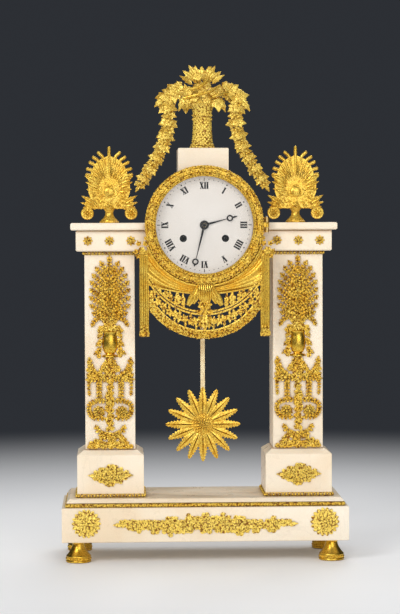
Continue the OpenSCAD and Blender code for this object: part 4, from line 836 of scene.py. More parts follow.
def palmettes():
    """Fan of ribs and feather lines with finger ends over leaf corners and scored discs, on a turned foot."""
    focus = PALMETTE_FOCUS
    bar = PALMETTE_BAR
    at = on_face(0, 0)
    heart = at(0, focus)
    front = Mould()
    fingers = Mould()
    # Ribs of the fan with smooth finger ends, and feather lines between them
    for k, (a, reach) in enumerate(PALMETTE_RAYS):
        after, far = PALMETTE_RAYS[min(k + 1, len(PALMETTE_RAYS) - 1)]
        length = PALMETTE_WEB * reach - 8
        for hand in SIDES if a else (1,):
            root = aim(max(a - FINGER_BEND, 0) * hand)
            tip = heart + aim(a * hand) * (reach - FINGER_R)
            rib = [at(0, focus, 1.2) + root * (8 + length * i / 5) for i in range(6)]
            front.tube(rib, lambda t: 0.9 + 0.9 * t)
            finger = [heart + root * (reach - 12), heart + root * (reach - 7), tip]
            fingers.tube(spline(finger, 4), FINGER_R, 10)
            fingers.ball(tip, FINGER_R)
            for share in (0.25, 0.5, 0.75):
                way = aim((a + (after - a) * share) * hand)
                end = (reach + (far - reach) * share) * (PALMETTE_WEB - 0.03)
                front.leaf(at(0, focus, 1.4) + way * 11, at(0, focus, 1.6) + way * end, 1.7, thick=1.3,
                           bow=0.02, peak=0.6, blunt=0.3)
    for hand in SIDES:
        # Side lobes and corner leaves: root, tip and its height over the plate, width, lobes and thickness
        for x, z, tip_x, tip_z, lift, width, lobes, thick in (
                (9, focus + 4, 25.4, focus + 13, 1.4, 9, 4, 1.4),
                (9, focus + 1, 25, focus + 6.6, 1.4, 7, 3, 1.4),
                (9, focus - 3, 24, focus - 1, 1.4, 7.5, 3, 1.4),
                (15, bar + 5, 29.4, bar + 13.6, 1.2, 6.5, 3, 1.4),
                (16, bar + 3, 30.2, bar + 6.4, 1.2, 6, 3, 1.4),
                (16, bar + 1.6, 28, bar + 1.4, 1.2, 4.5, 3, 1.3)):
            front.leaf(at(hand * x, z, 1.0), at(hand * tip_x, tip_z, lift), width, lobes=lobes, thick=thick)
        scroll = ((2, -9, 1.8), (7.4, -7, 2.2), (8.6, -2.5, 2.2), (6.4, -0.5, 2.0))
        front.tube(spline([at(hand * x, focus + z, lift) for x, z, lift in scroll]), tapered(1.2, 0.8))

    def body(x, z):
        return x < 19.5 - 0.25 * z and not (x < 8.5 and z > -1)

    leafage(front, body, 22, 8.5, 4.0, 2.7, on_face(-0.8, focus - 12.5), random.Random(3))
    # Boss under a small arch
    front.lathe(at(0, focus - 4.2, 0.4), BOSS, FRONT, 28)
    arch = [at(2.9 * cos(a), focus + 1.6 + 1.3 * sin(a), 2.4) for a in turns(16)]
    front.tube(arch + arch[:1], 0.8)
    front.tube([at(-22, bar + 1, 0.8), at(22, bar + 1, 0.8)], 1.4)
    front.settle(0, 3.6)
    one = front.copy()
    one.add(front.copy(x=-1, y=-1))
    # Plate that carries both faces
    fan = [(-a, reach) for a, reach in PALMETTE_RAYS[:0:-1]] + list(PALMETTE_RAYS)
    waist = [at(22, focus + 4), at(22, focus - 4), at(20, focus - 10), at(25, bar + 4), at(24, bar)]
    outline = [heart + aim(a) * PALMETTE_WEB * reach for a, reach in fan]
    outline += waist + [vec(-p.x, p.y, p.z) for p in waist[::-1]]
    one.skin([[p - FRONT * y for p in outline] for y in (1.6, -1.6)])
    # Turned foot and scored discs
    one.lathe(vec(0, 0, 0), PALMETTE_FOOT)
    for hand in SIDES:
        centre = at(hand * 23.2, 10.3)
        one.lathe(centre - FRONT * 2.6, DISC, FRONT, 28)
        for out in (FRONT, -FRONT):
            one.flower(centre + out * 2.3, 5.4, out, petals=8, layers=2, cup=0.05, thick=0.7)
        one.tube([at(hand * 22.6, 16), at(hand * 22, bar + 2)], 2.2)
    for side, name in ((-1, "left"), (1, "right")):
        place = vec(side * PILLAR_X, 0, PILLAR_TOP)
        piece(name + "_palmette_cast", one.copy(place), CLEAN, [name + "_palmette"])
        piece(name + "_palmette_fingers", fingers.copy(place), SATIN)


def basket():
    """Waisted basket of woven cane with twisted rings and a fluted mouth."""
    height = BASKET_TOP - ATTIC_TOP
    stakes = 15
    rows = 22
    parts = 4
    flute_from = 0.74
    angles = turns(stakes * 6)
    mould = Mould()

    def at(r, a, t):
        return vec(r * cos(a), r * sin(a), ATTIC_TOP + height * t)

    def girth(t):
        return 9.2 + 2.4 * (1 - t) ** 3 + 3.6 * max(0, t - 0.72) ** 1.5 / 0.28 ** 1.5

    def over(a, k):
        if k / (rows * parts) < flute_from:
            return cos(a * stakes + pi * (k // parts)) * sin(pi * (k % parts) / parts)
        return abs(cos(a * stakes / 2)) - 0.4

    rings = [[at(0.05, a, 0) for a in angles]]
    for k in range(rows * parts + 1):
        t = k / (rows * parts)
        rings.append([at(girth(t) + 0.75 * over(a, k), a, t) for a in angles])
    mould.skin(rings)
    for t, radius in ((0.03, 1.3), (0.085, 0.9), (0.65, 1.0), (0.735, 1.0), (0.98, 1.1)):
        ring = [at(girth(t) + 0.4, a, t) for a in turns(96)]
        mould.tube(ring + ring[:1], lambda s, r=radius: r * (1 + 0.25 * cos(2 * pi * 32 * s)))
    piece("woven_basket", mould, BRIGHTLY_LIT_MATT, ["flower_basket"])


def rose(mould, centre, radius, out, turn=0.0):
    """Full-blown flower: five wide petals, five that stand up, and a knot of small ones."""
    out = out.normalized()
    for layer, (share, petals, cup) in enumerate(((1.0, 5, 0.1), (0.7, 5, 0.55), (0.4, 4, 1.0))):
        reach = radius * share
        for way in ways(out, petals, turn + 0.63 * layer):
            tip = centre + way * reach + out * (reach * cup * 0.6)
            mould.leaf(centre + out * radius * 0.1 * layer, tip, 1.7 * reach * sin(pi / petals), out,
                       radius * 0.16, bow=0.14, peak=0.62, blunt=0.25, sharp=0.6, steps=5)
    mould.ball(centre + out * radius * 0.42, radius * 0.2, out)


# Fan-shaped bloom at the top of the bouquet: root, tip and width of a petal
BLOOM = (((-5, 20), (-20.5, 34.2), 7.5), ((-4.4, 21), (-14.2, 40), 7), ((-3.5, 21), (-7.8, 39.6), 7.5),
         ((-2.5, 21), (-0.4, 39.2), 7), ((3, 21), (9.6, 39), 7.5), ((4, 21), (13.2, 35.4), 6))
# Flowers of the mound: place and radius
MOUND = ((-25.5, -3, 16.5, 7), (-31.5, -2, 14.5, 4.8), (26.5, -3, 16.5, 6.6), (20, -6, 12, 5.6),
         (5, -8, 18, 4.6), (-15, -9, 12, 5.8), (0, -14, 10, 5.6), (11.5, -12, 11, 5.8), (-9, -12.5, 5, 5.4),
         (4, -13.5, 3, 5))
# Leaves of the bouquet: root, tip and width
LEAVES = (((10, -5, 20), (23.8, -6, 29.8), 7), ((-17, -8, 8), (-25.4, -10, -9), 9),
          ((-12, -10, 6), (-17, -12, -6), 7), ((-26, -2, 14), (-33.4, -3, 19.5), 7),
          ((-24, -2, 15), (-27, -4, 23.4), 7), ((26, -2, 15), (33, -3, 20.6), 7),
          ((24, -2, 14), (25.4, -4, 23.6), 7), ((-28, -2, 11), (-38, -3, 9), 7),
          ((24, -3, 11), (33, -4, 7), 7), ((-17, -4, 12), (-19, -6, 20.5), 6))
# Ribbons of stems
RIBBONS = (((-13, -15, 14), (-4, -16, 16.5), (3, -14, 21), (6, -11, 25)),
           ((-19.5, -12.5, 5), (-6, -17, 8), (6, -17, 11.5), (19, -11.5, 18)),
           ((10, -15, 6), (18, -13.6, 9), (27, -7, 11)))


def bouquet():
    """Flowers, a fan-shaped bloom, ribbons of stems and drooping leaves that spill over the basket."""
    front = Mould()
    ribbons = Mould()

    def at(x, y, z):
        return vec(x, y, BASKET_TOP + z)

    def drooping(place, size, sideways, upwards, turn, thick, wide):
        out = vec(sideways, -1, upwards).normalized()
        front.ivy(at(*place), size, out, radians(turn), thick, wide=wide)

    for (x, z), (tip_x, tip_z), width in BLOOM:
        front.leaf(at(x, -3, z), at(tip_x, -5, tip_z), width, vec(0, -1, 0.3), 1.4, lobes=4, bow=0.14,
                   peak=0.68)
    rose(front, at(-5, -8, 28), 5.6, vec(-0.1, -1, 0.5))
    for x, y, z, radius in MOUND:
        rose(front, at(x, y, z), radius, vec(0.03 * x, -1, 0.45), 0.4 * x)
    for root, tip, width in LEAVES:
        front.leaf(at(*root), at(*tip), width, vec(0, -1, 0.4), 1.2, lobes=4, bow=0.18)
    # Wide ivy leaf that hangs on the right, a small one on the left, and leaves over the mouth of the basket
    drooping((16.4, -13, 0), 10.5, 0.15, 0.25, -90, 1.1, 0.75)
    drooping((-19, -12, 4), 6.5, -0.15, 0.25, -110, 1.0, 0.75)
    for x in (-9, -3, 3, 9):
        drooping((x, -sqrt(181 - x * x), 1.5), 5.4, 0.06 * x, 0.3, -90, 1.0, 0.8)
    for line in RIBBONS:
        ribbons.tube(spline([at(*p) for p in line]), lambda t: 1.9 * (1 - 0.35 * t))
    ribbons.add(ribbons.copy(x=-1, y=-1))
    piece("bouquet_ribbons", ribbons, SATIN)
    mould = Mould()
    mould.ball(at(0, 0, 6), 13, UP, 0.9, 20)
    mould.ball(at(-2.5, 0, 16), 6.5, UP, 1.2, 16)
    for side in SIDES:
        mould.tube([at(side * 8, 0, 10), at(side * 28, 0, 13)], 4.5, 10)
    mould.add(front)
    mould.add(front.copy(x=-1, y=-1))
    for p in mould.points:
        p.z = min(p.z, OBJECT_TOP - 0.2)
    piece("flower_bouquet", mould, BRIGHTLY_LIT_GILT, ["bouquet"])


GARLAND_WAY = ((26, 493), (33, 491.5), (39, 486), (37, 477), (35.5, 465), (37, 453), (40, 442.5), (43, 433.5),
               (48, 424), (53.5, 415), (59, 406.5), (65, 397.5), (70, 389.5))
# Height of the tip of the long leaf beside the left and the right shoulder
SHOULDER_TIP = {-1: 477.3, 1: 472.7}


def garlands():
    """Garlands of ivy and flowers in clusters that hang from the bouquet beside the drum."""
    mould = Mould()
    for hand in SIDES:
        draw = random.Random(40 + hand)
        line = spline([vec(hand * x, 0, z) for x, z in GARLAND_WAY], 8)
        mould.tube(line, tapered(2.8, 1.6))
        last = len(line) - 1
        for k in range(0, last - 2, 5):
            cluster = (k // 5) % 2
            swing = draw.choice(SIDES)
            size = (7.8 if cluster else 6.2) * (1 - 0.34 * k / last)
            along = (line[min(k + 1, last)] - line[max(k - 1, 0)]).normalized()
            for out in (FRONT, -FRONT):
                side = along.cross(out)
                level, rise = across(out)
                for u in SIDES:
                    share = 1.15 if u == swing else 0.8
                    place = line[k] + side * (u * 0.36 * size + swing * 0.8) + out * draw.uniform(2.0, 3.0)
                    tilt = out + side * u * draw.uniform(-0.2, 0.3) + UP * draw.uniform(0.0, 0.5)
                    heading = along * draw.uniform(0.2, 0.9) + side * u
                    turn = atan2(heading.dot(rise), heading.dot(level)) + draw.uniform(-0.3, 0.3)
                    mould.ivy(place, size * share, tilt.normalized(), turn, 0.9, 5 if cluster else 3, 0.75)
                if cluster:
                    rose(mould, line[k] + out * 3.6, 0.62 * size, out + UP * 0.3, draw.uniform(0, 6))
                else:
                    mould.ball(line[k] + out * 3.8 + side * 1.4, 1.7, out)
                    mould.ball(line[k] + out * 3.8 - side * 1.4 + UP, 1.5, out)
        end = line[-1]
        for out in (FRONT, -FRONT):
            tip = end + vec(hand * 1.4, 0, -2.4) + out * 2
            mould.leaf(end + vec(hand * -4, 0, 6) + out * 3, tip, 5, out, lobes=3)
        # Leaves at the shoulder: root, tip and width
        for x, z, tip_x, tip_z, width in (
                (40, 486, 50.8, SHOULDER_TIP[hand], 8), (38, 488, 45, 483, 7), (36, 488, 40, 494.6, 6.5)):
            for y in (-2.5, 2.5):
                out = vec(0, y, 0.8).normalized()
                tip = vec(hand * tip_x, y * 1.4, tip_z)
                mould.leaf(vec(hand * x, y, z), tip, width, out, lobes=4, bow=0.16)
    piece("flower_garlands", mould, BRIGHTLY_LIT_GILT, ["garlands"])


# Drapery

SWAG_FRONT = -50.6
SWAG_BACK = -46.2
RIM_Z = 303.9
RIM_R = 70.0
RIM_INNER = 61.0
RIB_Z = 325.0
RIB_R = 64.4
BEZEL_CLEAR = 63.4
CLOTH_LOW = 281.0
CLOTH_R = 184.6
CLOTH_HALF = 59.4
CLOTH_STEPS = 48
LATTICE_HALF = 59.0
LATTICE_FRONT = SWAG_FRONT + 0.9
TAIL_X = 63.0
on_swag = on_face(SWAG_FRONT, 0)
on_lattice = on_face(LATTICE_FRONT, 0)


def cloth_edges(x):
    """Upper and lower edge of the cloth under the drum at a distance from the middle."""
    return DIAL_Z - sqrt(BEZEL_CLEAR ** 2 - x * x), CLOTH_LOW + CLOTH_R - sqrt(CLOTH_R ** 2 - x * x)


def under(centre_z, radius, x, lift):
    """Place on a hanging arc at a distance from the middle."""
    return on_lattice(x, centre_z - sqrt(max(radius ** 2 - x * x, 0)), lift)


def swag():
    """Cloth that hangs between two bows in soft folds along the bezel, with pleated tails and a knot."""
    folds = 3
    rows = 36
    mould = Mould()
    stations = [-CLOTH_HALF + 2 * CLOTH_HALF * k / CLOTH_STEPS for k in range(CLOTH_STEPS + 1)]
    rings = []
    for x in stations:
        upper, lower = cloth_edges(x)
        depth = 0.7 + 1.5 * (abs(x) / CLOTH_HALF) ** 0.7
        ring = []
        for v in [i / rows for i in range(rows + 1)]:
            crest = 0.5 - 0.5 * cos(2 * pi * (folds * v ** 0.75 + 0.15 * sin(x / 12)))
            ring.append(on_swag(x, upper + (lower - upper) * v, depth * crest - 1.4))
        rings.append(ring + [vec(x, SWAG_BACK, lower + 0.6), vec(x, SWAG_BACK, upper - 0.6)])
    mould.skin(rings)
    # Rolled edge along the bezel and hem along the lower edge
    for edge, radius in ((0, 1.5), (1, 1.0)):
        mould.tube([on_swag(x, cloth_edges(x)[edge], 0.2) for x in stations], radius)
    for hand in SIDES:
        # Tail with upright pleats
        tail = []
        for t in [k / 30 for k in range(31)]:
            z = DIAL_Z - 26 - 88 * t
            half = 4.6 + 0.4 * sin(pi * t)
            ring = []
            for u in [-1 + i / 12 for i in range(25)]:
                pleat = cos(u * pi * 2.5 + 0.5 * sin(3 * t))
                ring.append(on_swag(hand * (TAIL_X + half * u), z, 0.2 + 0.55 * pleat - 0.8 * u * u))
            tail.append(ring + [vec(hand * (TAIL_X + k * half), SWAG_BACK, z) for k in (1, -1)])
        mould.skin(tail)
        # Ribbons that fall beside the tongue
        for x, z, tip_x, tip_z, width in ((6, 291, 17.6, 268.6, 7.6), (5, 289, 12.4, 270.6, 6.4)):
            mould.leaf(on_swag(hand * x, z, 0.9), on_swag(hand * tip_x, tip_z, 0.8), width, thick=1.6,
                       blunt=0.5, peak=0.75, bow=0.08)
    # Fluted tongue
    for k in range(-3, 4):
        mould.leaf(on_swag(k * 1.9, 291.5, 1.2), on_swag(k * 2.6, 272 + 0.5 * k * k, 1.6), 4.6, thick=2.2,
                   blunt=0.55, peak=0.72, bow=0.1)
    piece("drapery_cloth", mould, SATIN, ["drapery"])


# Section of the rim: radius and lift
RIM = ((RIM_INNER, -1.4), (RIM_INNER, 0.9), (RIM_INNER + 1.2, 1.3), (RIM_INNER + 2, 0.4), (RIM_R - 0.8, 0.4),
       (RIM_R, 0), (RIM_R, -1.4))
# Upper row of the lattice: place, width and lean of a leaf
UPPER_ROW = ((22, 6, 1), (28.5, 10, 0), (35, 5.5, 1.5), (40.5, 8.5, 0), (46.5, 5, 1), (51.5, 6, 0))
# Bunch at the corner of the cloth: place and size of a leaf
BUNCH = ((-4, 6.5, 5), (2.6, 6.4, 4.6), (5, -1, 4.4), (-3.6, -3.6, 4), (3.4, -5.4, 4), (-4.6, 12, 4))
# Leaves of the drop in the middle
DROP = ((-5.6, 262.5), (5.6, 262.5), (0, 260.5), (-4.8, 255.5), (4.8, 255.5), (-4.2, 249), (4.2, 249))


def drapery_lattice():
    """Pierced leafwork in two rows between the cloth, a double rib and a chased rim."""
    mould = Mould()
    draw = random.Random(31)
    spread = asin(LATTICE_HALF / RIM_INNER)
    # Rim: raised band with upright ends, chased with small leaves
    rings = []
    for a in [-spread + 2 * spread * k / 96 for k in range(97)]:
        ring = []
        for radius, lift in RIM:
            x = max(-LATTICE_HALF, min(LATTICE_HALF, radius * sin(a)))
            ring.append(on_lattice(x, RIM_Z - radius * cos(a), lift))
        rings.append(ring)
    mould.skin(rings)
    steps = round(2 * LATTICE_HALF / 3.2)
    for radius in (RIM_INNER + 3.4, RIM_INNER + 5.9, RIM_R - 0.9):
        for k in range(steps + 1):
            x = (LATTICE_HALF - 1) * (2 * k / steps - 1)
            place = under(RIM_Z, radius, x, draw.uniform(0.4, 1.0))
            mould.ivy(place, 2.2, tilted(draw, 0.35, -0.1, 0.5), draw.uniform(0, 6), 0.6, 3)
    # Double rib
    for radius in (RIB_R - 1.4, RIB_R + 1.4):
        mould.tube([under(RIB_Z, radius, LATTICE_HALF * (k / 35 - 1), 0.6) for k in range(71)], 1.1)
    for hand in SIDES:
        # Upper row: leaves that rise from the rib to the cloth
        for x, width, lean in UPPER_ROW:
            root = under(RIB_Z, RIB_R - 0.6, hand * x, 0.6)
            tip = on_lattice(hand * (x + lean), cloth_edges(x)[1] + 0.4, 0.8)
            mould.leaf(root, tip, width, lobes=3, thick=1.0, notch=0.45)
            if width > 6:
                middle = root.lerp(tip, 0.45)
                mould.ivy(middle + FRONT * 1.0, 5.0, FRONT, radians(90), 0.8)
                mould.ball(middle + FRONT * 1.8, 1.2)
        # Lower row: leaves and berries that stand to both sides of a stem
        stem = []
        for k in range(10):
            x = hand * (3.5 + 5.6 * k)
            low = under(RIM_Z, RIM_INNER, x, 0.4)
            high = under(RIB_Z, RIB_R + 2, x, 0.4)
            middle = low.lerp(high, 0.5)
            stem.append(middle)
            if k:
                turn, berry, end = (90, 0.2, low) if k % 2 else (-90, 0.8, high)
                heading = radians(turn) + draw.uniform(-0.5, 0.5)
                mould.ivy(middle + FRONT * 0.6, 6.2, tilted(draw, 0.3, 0, 0.4), heading, 0.8)
                mould.ball(low.lerp(high, berry) + FRONT * 0.5, 1.7, FRONT, 0.7)
                mould.tube([end, middle], 1.0, 6)
        mould.tube(spline(stem, 4), 0.9)
        # Bunch at the corner and tassel of the tail
        knot = on_swag(hand * 65.6, DIAL_Z - 26.2, 0.6)
        mould.flower(knot + FRONT * 1.4, 4.2, petals=6, layers=2, cup=0.3)
        for x, z, size in BUNCH:
            mould.ivy(knot + vec(hand * x, 0.4, z), size, FRONT, atan2(z, hand * x))
        for k in range(-3, 4):
            tip = on_swag(hand * (TAIL_X + 1.5 * k), 236.4, 0.9)
            mould.leaf(on_swag(hand * (TAIL_X + 1.1 * k), 246, 0.6), tip, 2.6, thick=1.4, blunt=0.4, peak=0.7)
        for k in (-1, 0, 1):
            mould.ball(on_swag(hand * (TAIL_X + 3 * k), 246.5, 1.0), 1.6)
    # Flower and drop in the middle
    middle = on_swag(0, 269.5, 0.4)
    mould.flower(middle, 7.6, petals=9, layers=1, cup=0.1, thick=1.3)
    mould.flower(middle + FRONT * 0.9, 5.4, petals=7, layers=2, cup=0.2, thick=1.1)
    for x, z in DROP:
        mould.ivy(on_swag(x, z, 0.2), 4.8, FRONT, radians(-90))
    mould.leaf(on_lattice(0, 261, 0.6), on_lattice(0, 241, 1), 11, lobes=4, thick=1.5)
    piece("drapery_leafwork", mould, MATT)


# Drum and dial

# Front of the bezel: radius and place
BEZEL_PROFILE = ((50.7, -52.4), (51.9, -53.6), (53.7, -52.9), (55.3, -55.5), (58.6, -55.5), (59.8, -51.6),
                 (60.6, -51.6), (62, -49.1))
BEZEL_LIMIT = -57.2


def bezel_face(radius):
    """Front of the bezel at a radius."""
    for (r0, y0), (r1, y1) in zip(BEZEL_PROFILE, BEZEL_PROFILE[1:]):
        if radius <= r1:
            return y0 + (y1 - y0) * (radius - r0) / (r1 - r0)
    return BEZEL_PROFILE[-1][1]


def bezel_chasing():
    """Close foliage cast round the bezel between two bead rows."""
    mould = Mould()
    draw = random.Random(21)

    def at(radius, a, lift):
        return vec(radius * sin(a), bezel_face(radius) - lift, DIAL_Z + radius * cos(a))

    for radius, size, count in ((51.9, 0.9, 120), (61.3, 1.0, 118)):
        for a in turns(count):
            mould.ball(at(radius, a, 0.2), size)
    # Rounds that fill the hollows, then rows of small leaves: radius, size of a leaf and height over the face
    for radius, lift in ((53.7, 0.6), (60.2, 1.0)):
        ring = [at(radius, a, lift) for a in turns(120)]
        mould.tube(ring + ring[:2], 1.3)
    for radius, size, lift in ((60.7, 1.9, 2.2), (58.4, 1.9, 0.9), (56.0, 1.9, 0.4), (53.6, 1.8, 1.6)):
        for k, a in enumerate(turns(round(1.95 * radius), draw.uniform(0, 0.05))):
            tilt = tilted(draw, 0.35, -0.15, 0.5)
            place = at(radius + draw.uniform(-0.3, 0.3), a, lift + draw.uniform(0, 0.4))
            if k % 4 == 0:
                mould.flower(place, size * 0.85, tilt, 5, 1, 0.2, draw.uniform(0, 6), 0.5)
            else:
                mould.ivy(place, size, tilt, draw.uniform(0, 6), 0.45, 3, 0.8)
    for p in mould.points:
        p.y = max(p.y, BEZEL_LIMIT)
    piece("bezel_chasing", mould, MATT, body="bezel")


# Advance of a letter, and the ends and width of its strokes
STROKES = {
    "I": (2.5, (((0.0, -1), (0.0, 1), 1.8),)),
    "V": (4.4, (((-1.45, 1), (0.1, -1), 1.9), ((1.55, 1), (0.1, -1), 0.8))),
    "X": (4.4, (((-1.4, 1), (1.4, -1), 1.9), ((1.5, 1), (-1.5, -1), 0.8))),
}
NUMERALS = ("XII", "I", "II", "III", "IIII", "V", "VI", "VII", "VIII", "IX", "X", "XI")
NUMERAL_R = 41.2
NUMERAL_HALF = 3.6
TRACK_R = 47.6
PAINT_THICK = 0.06


def dial_figures():
    """Roman numerals with thick and thin strokes, minute dots and quarter ticks."""
    mould = Mould()

    def at(x, r, a, lift=0.0):
        return vec(x * cos(a) + r * sin(a), DIAL_FRONT - 0.02 - lift, DIAL_Z - x * sin(a) + r * cos(a))

    def stroke(a, b, width, angle):
        """Flat stroke between two points of the upright figure."""
        corners = [(p[0] + k * width / 2, p[1]) for p, k in ((a, -1), (a, 1), (b, 1), (b, -1))]
        mould.skin([[at(x, r, angle, lift) for x, r in corners] for lift in (0.0, PAINT_THICK)])

    for hour, numeral in enumerate(NUMERALS):
        angle = pi / 6 * hour
        width = sum(STROKES[letter][0] for letter in numeral)
        place = -width / 2
        for letter in numeral:
            advance, lines = STROKES[letter]
            for *points, thick in lines:
                ends = [(place + advance / 2 + x, NUMERAL_R + r * NUMERAL_HALF) for x, r in points]
                stroke(*ends, thick, angle)
            place += advance
        for edge in SIDES:
            r = NUMERAL_R + edge * (NUMERAL_HALF - 0.15)
            stroke((-width / 2 + 0.2, r + 0.15), (-width / 2 + 0.2, r - 0.15), 0.02, angle)
            stroke((0, r - 0.16), (0, r + 0.16), width - 0.3, angle)
    for minute in range(60):
        angle = pi / 30 * minute
        if minute % 15 == 0:
            stroke((0, TRACK_R - 1.7), (0, TRACK_R + 1.7), 0.8, angle)
        else:
            size = 0.8 if minute % 5 == 0 else 0.45
            mould.lathe(at(0, TRACK_R, angle), ((size, -0.01), (size, PAINT_THICK)), FRONT, 12)
    piece("dial_figures", mould, PAINT)


def winding_hole_shade():
    """Black rings that paint the shade inside the winding holes of the dial, round the squares for the key.
    """
    hole = 3.75
    square = 2.85
    lip = hole - 0.25
    ring = ((hole, 0), (hole, -1.3), (square, -1.3), (square, -0.9), (lip, -0.7), (lip, 0), (hole, 0))
    mould = Mould()
    for node in ("going_arbor", "strike_arbor"):
        low, high = cad_box(node)
        mould.lathe(vec((low.x + high.x) / 2, DIAL_FRONT + 0.2, (low.z + high.z) / 2), ring, FRONT, 28)
    piece("winding_hole_shade", mould, PAINT)


# Hands: length, place of the ring, radius of the hub, angle, and the end of the hub's profile
HANDS = {
    "minute_hand": (44.7, 39.3, 3.6, 194, ((2.4, 0.9), (2.2, 1.5), (1.2, 1.9), (0, 2.0))),
    "hour_hand": (36.0, 27.6, 4.8, 75, ((2.05, 0.8),)),
}
HAND_RING_R = 2.7


def hands():
    """Slender black hands with an open ring before the tip."""
    for name, (length, ring_at, hub, angle, cap) in HANDS.items():
        low, high = cad_box(name)
        way = aim(angle)
        side = aim(angle + 90)
        centre = vec(0, (low.y + high.y) / 2, DIAL_Z)
        eye = centre + way * ring_at
        mould = Mould()
        mould.lathe(centre - FRONT * 0.4, ((2.05, 0), (hub, 0), (hub, 0.5), (hub - 0.8, 0.8)) + cap, FRONT)
        mould.tube([centre + way * 2.6, centre + way * (ring_at - HAND_RING_R)], tapered(1.3, 0.8), 8, 0.4)
        circle = [eye + (way * cos(a) + side * sin(a)) * HAND_RING_R for a in turns(28)]
        mould.tube(circle + circle[:2], 0.75, 8, 0.5)
        for hand in SIDES:
            mould.ball(eye + side * HAND_RING_R * hand, 0.75, FRONT, 0.6)
        root = eye + way * (HAND_RING_R - 0.4)
        mould.leaf(root, centre + way * length, 1.9, thick=0.35, peak=0.3)
        piece(name + "_forged", mould, BLACK, [name], name)


# Pendulum

BOB_LOW, BOB_HIGH = cad_box("sunburst_bob")
BOB_R = (BOB_HIGH.z - BOB_LOW.z) / 2
RAYS = 16
RAY_ROOT = 8.0
RAY_TEETH = 10
VALLEY_R = 26.5
VALLEY_HALF = VALLEY_R * tan(pi / RAYS)
RAY_TIP_HALF = 2.0
# Rings of petals in the middle: radius, inner radius, number and lift
HEART = ((12.6, 7.5, 18, 0), (9.6, 5, 14, 0.5), (6.6, 2.6, 10, 1.0), (3.6, 0.8, 6, 1.4))


def ray_half(t):
    """Half width of a ray along its way, as a share of its width between its neighbours."""
    r = RAY_ROOT + (BOB_R - RAY_ROOT) * t
    if r < VALLEY_R - 1:
        return 1.03 * r / VALLEY_R
    half = VALLEY_HALF + (RAY_TIP_HALF - VALLEY_HALF) * (r - VALLEY_R) / (BOB_R - VALLEY_R)
    tooth = 1 - 0.34 * (round(t * 2 * RAY_TEETH) % 2)
    return half / VALLEY_HALF * tooth * (0.5 if t > 0.99 else 1)


def sunburst():
    """Straight rays with toothed edges and a sunk middle line about a flower."""
    mould = Mould()
    centre = vec(0, BOB_HIGH.y, (BOB_LOW.z + BOB_HIGH.z) / 2)
    for k in range(RAYS):
        way = aim(360 / RAYS * k)
        mould.leaf(centre + way * RAY_ROOT + FRONT, centre + way * (BOB_R - 0.1) + FRONT, 2 * VALLEY_HALF,
                   thick=2.0, bow=0.02, blunt=0.1, steps=2 * RAY_TEETH, outline=ray_half, section=RAY)
    mould.lathe(centre, ((0, 0), (25, 0), (25, 1.6), (11, 2.0), (9.5, 2.8), (0, 3.0)), FRONT, 48)
    heart = centre + FRONT * 2.2
    for radius, inner, count, lift in HEART:
        mould.ring_of_petals(heart, radius, inner, count, 1.0, lift, 0.2 * count)
    mould.ball(heart + FRONT * 1.8, 1.3)
    mould.settle(BOB_HIGH.y, BOB_HIGH.y - BOB_LOW.y)
    piece("sunburst_cast", mould, CLEAN, ["sunburst_bob"], "pendulum")


# Stage, light and camera

IMAGE_H = 614
FOCAL_PX = 2081.55
SENSOR = 36.0
CAMERA_POS = vec(-0.09077, -2.21237, 0.35427)
CAMERA_YAW = radians(2.27)
CAMERA_PITCH = radians(2.31)
CAMERA_ROLL = radians(-0.22)
LAMP_AIM = vec(0, 0, 0.26)
BACKGROUND = (0.026, 0.029, 0.035, 1)
FLOOR_NEAR = 0.26
FLOOR_FAR = 1.4
FLOOR_REACH = 30.0


def camera():
    """Camera at the place from which the reference view was taken."""
    data = bpy.data.cameras.new("camera")
    data.sensor_width = SENSOR
    data.lens = FOCAL_PX * SENSOR / IMAGE_H
    data.clip_end = 100
    level = cos(CAMERA_PITCH)
    ahead = vec(sin(CAMERA_YAW) * level, cos(CAMERA_YAW) * level, -sin(CAMERA_PITCH))
    right = vec(cos(CAMERA_YAW), -sin(CAMERA_YAW), 0)
    rise = right.cross(ahead)
    c = cos(CAMERA_ROLL)
    s = sin(CAMERA_ROLL)
    axes = Matrix((right * c + rise * s, rise * c - right * s, -ahead)).transposed()
    obj = put("camera", data)
    obj.matrix_world = Matrix.Translation(CAMERA_POS) @ axes.to_4x4()
    bpy.context.scene.camera = obj


def lamp(name, place, size, power):
    """Soft square lamp that faces the clock."""
    data = bpy.data.lights.new(name, "AREA")
    data.size = size
    data.energy = power
    obj = put(name, data)
    obj.location = place
    obj.rotation_euler = (LAMP_AIM - obj.location).to_track_quat("-Z", "Y").to_euler()


def seen_directly(tree):
    """One for what the camera, a mirror or a glass shows, nought for light that falls on things."""
    path = add_node(tree, "LightPath", {})
    seen = path.outputs["Is Camera Ray"]
    for other in ("Is Glossy Ray", "Is Transmission Ray"):
        seen = add_node(tree, "Math", {0: seen, 1: path.outputs[other]}, operation="MAXIMUM").outputs[0]
    return seen


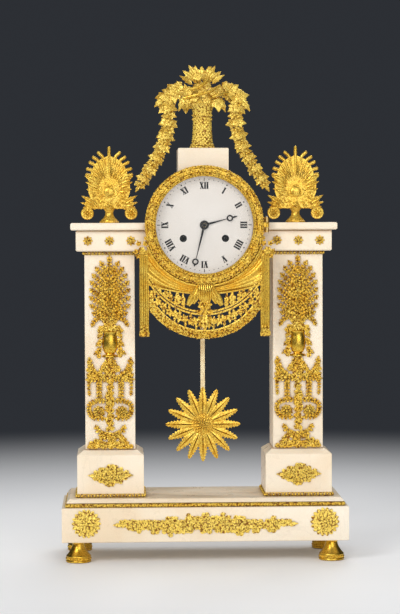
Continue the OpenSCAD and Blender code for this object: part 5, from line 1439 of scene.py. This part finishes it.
def studio():
    """Pale floor that runs into a plain grey surround, and soft lamps."""
    f = Finish("floor")
    tone = f.ramp(f.noise(3, 2), (0.3, (0.90, 0.90, 0.91)), (0.7, (0.93, 0.93, 0.93)))
    feed(f.tree, f.shader, {"Base Color": tone, "Roughness": 0.6})
    # Far from the clock the floor takes the colour of the surround, so that no horizon shows
    away = f.node("VectorMath", {0: f.place}, operation="LENGTH").outputs["Value"]
    far = f.node("MapRange", {"Value": away, "From Min": FLOOR_NEAR, "From Max": FLOOR_FAR},
                 interpolation_type="SMOOTHSTEP").outputs["Result"]
    glow = f.node("Emission", {"Color": BACKGROUND, "Strength": 1.0})
    veil = f.node("Math", {0: far, 1: seen_directly(f.tree)}, operation="MULTIPLY")
    both = f.node("MixShader", {0: veil.outputs[0], 1: f.shader.outputs[0], 2: glow.outputs[0]})
    feed(f.tree, f.tree.nodes["Material Output"], {"Surface": both.outputs[0]})
    mesh = bpy.data.meshes.new("floor")
    corners = [(x * FLOOR_REACH, y * FLOOR_REACH, 0) for x, y in ((-1, -1), (1, -1), (1, 1), (-1, 1))]
    mesh.from_pydata(corners, [], [(0, 1, 2, 3)])
    mesh.materials.append(f.material)
    floor = put("floor", mesh)

    world = bpy.data.worlds.new("surround")
    bpy.context.scene.world = world
    world.use_nodes = True
    tree = world.node_tree
    tree.nodes.clear()
    light = add_node(tree, "Background", {"Color": (0.95, 0.97, 1, 1), "Strength": 0.45})
    view = add_node(tree, "Background", {"Color": BACKGROUND, "Strength": 1.0})
    either = add_node(tree, "MixShader", {0: seen_directly(tree), 1: light.outputs[0], 2: view.outputs[0]})
    add_node(tree, "OutputWorld", {"Surface": either.outputs[0]})
    lamp("key", vec(-1.3, -1.7, 1.5), 1.0, 24)
    lamp("front", vec(0.7, -3.0, 1.1), 2.4, 39)
    lamp("top", vec(0.1, 0.4, 1.9), 1.2, 5)
    lamp("back", vec(0.6, 2.2, 2.4), 1.4, 18)
    bpy.context.scene.view_settings.view_transform = "Standard"


for build in (camera, studio, finish_nodes, marble_blocks, feet, step_moulding, base_garland, base_rosettes,
              pillar_beads, pedestal_mounts, shaft_mounts, capital_rosettes, palmettes, basket, bouquet,
              garlands, swag, drapery_lattice, bezel_chasing, dial_figures, winding_hole_shade, hands, sunburst):
    build()
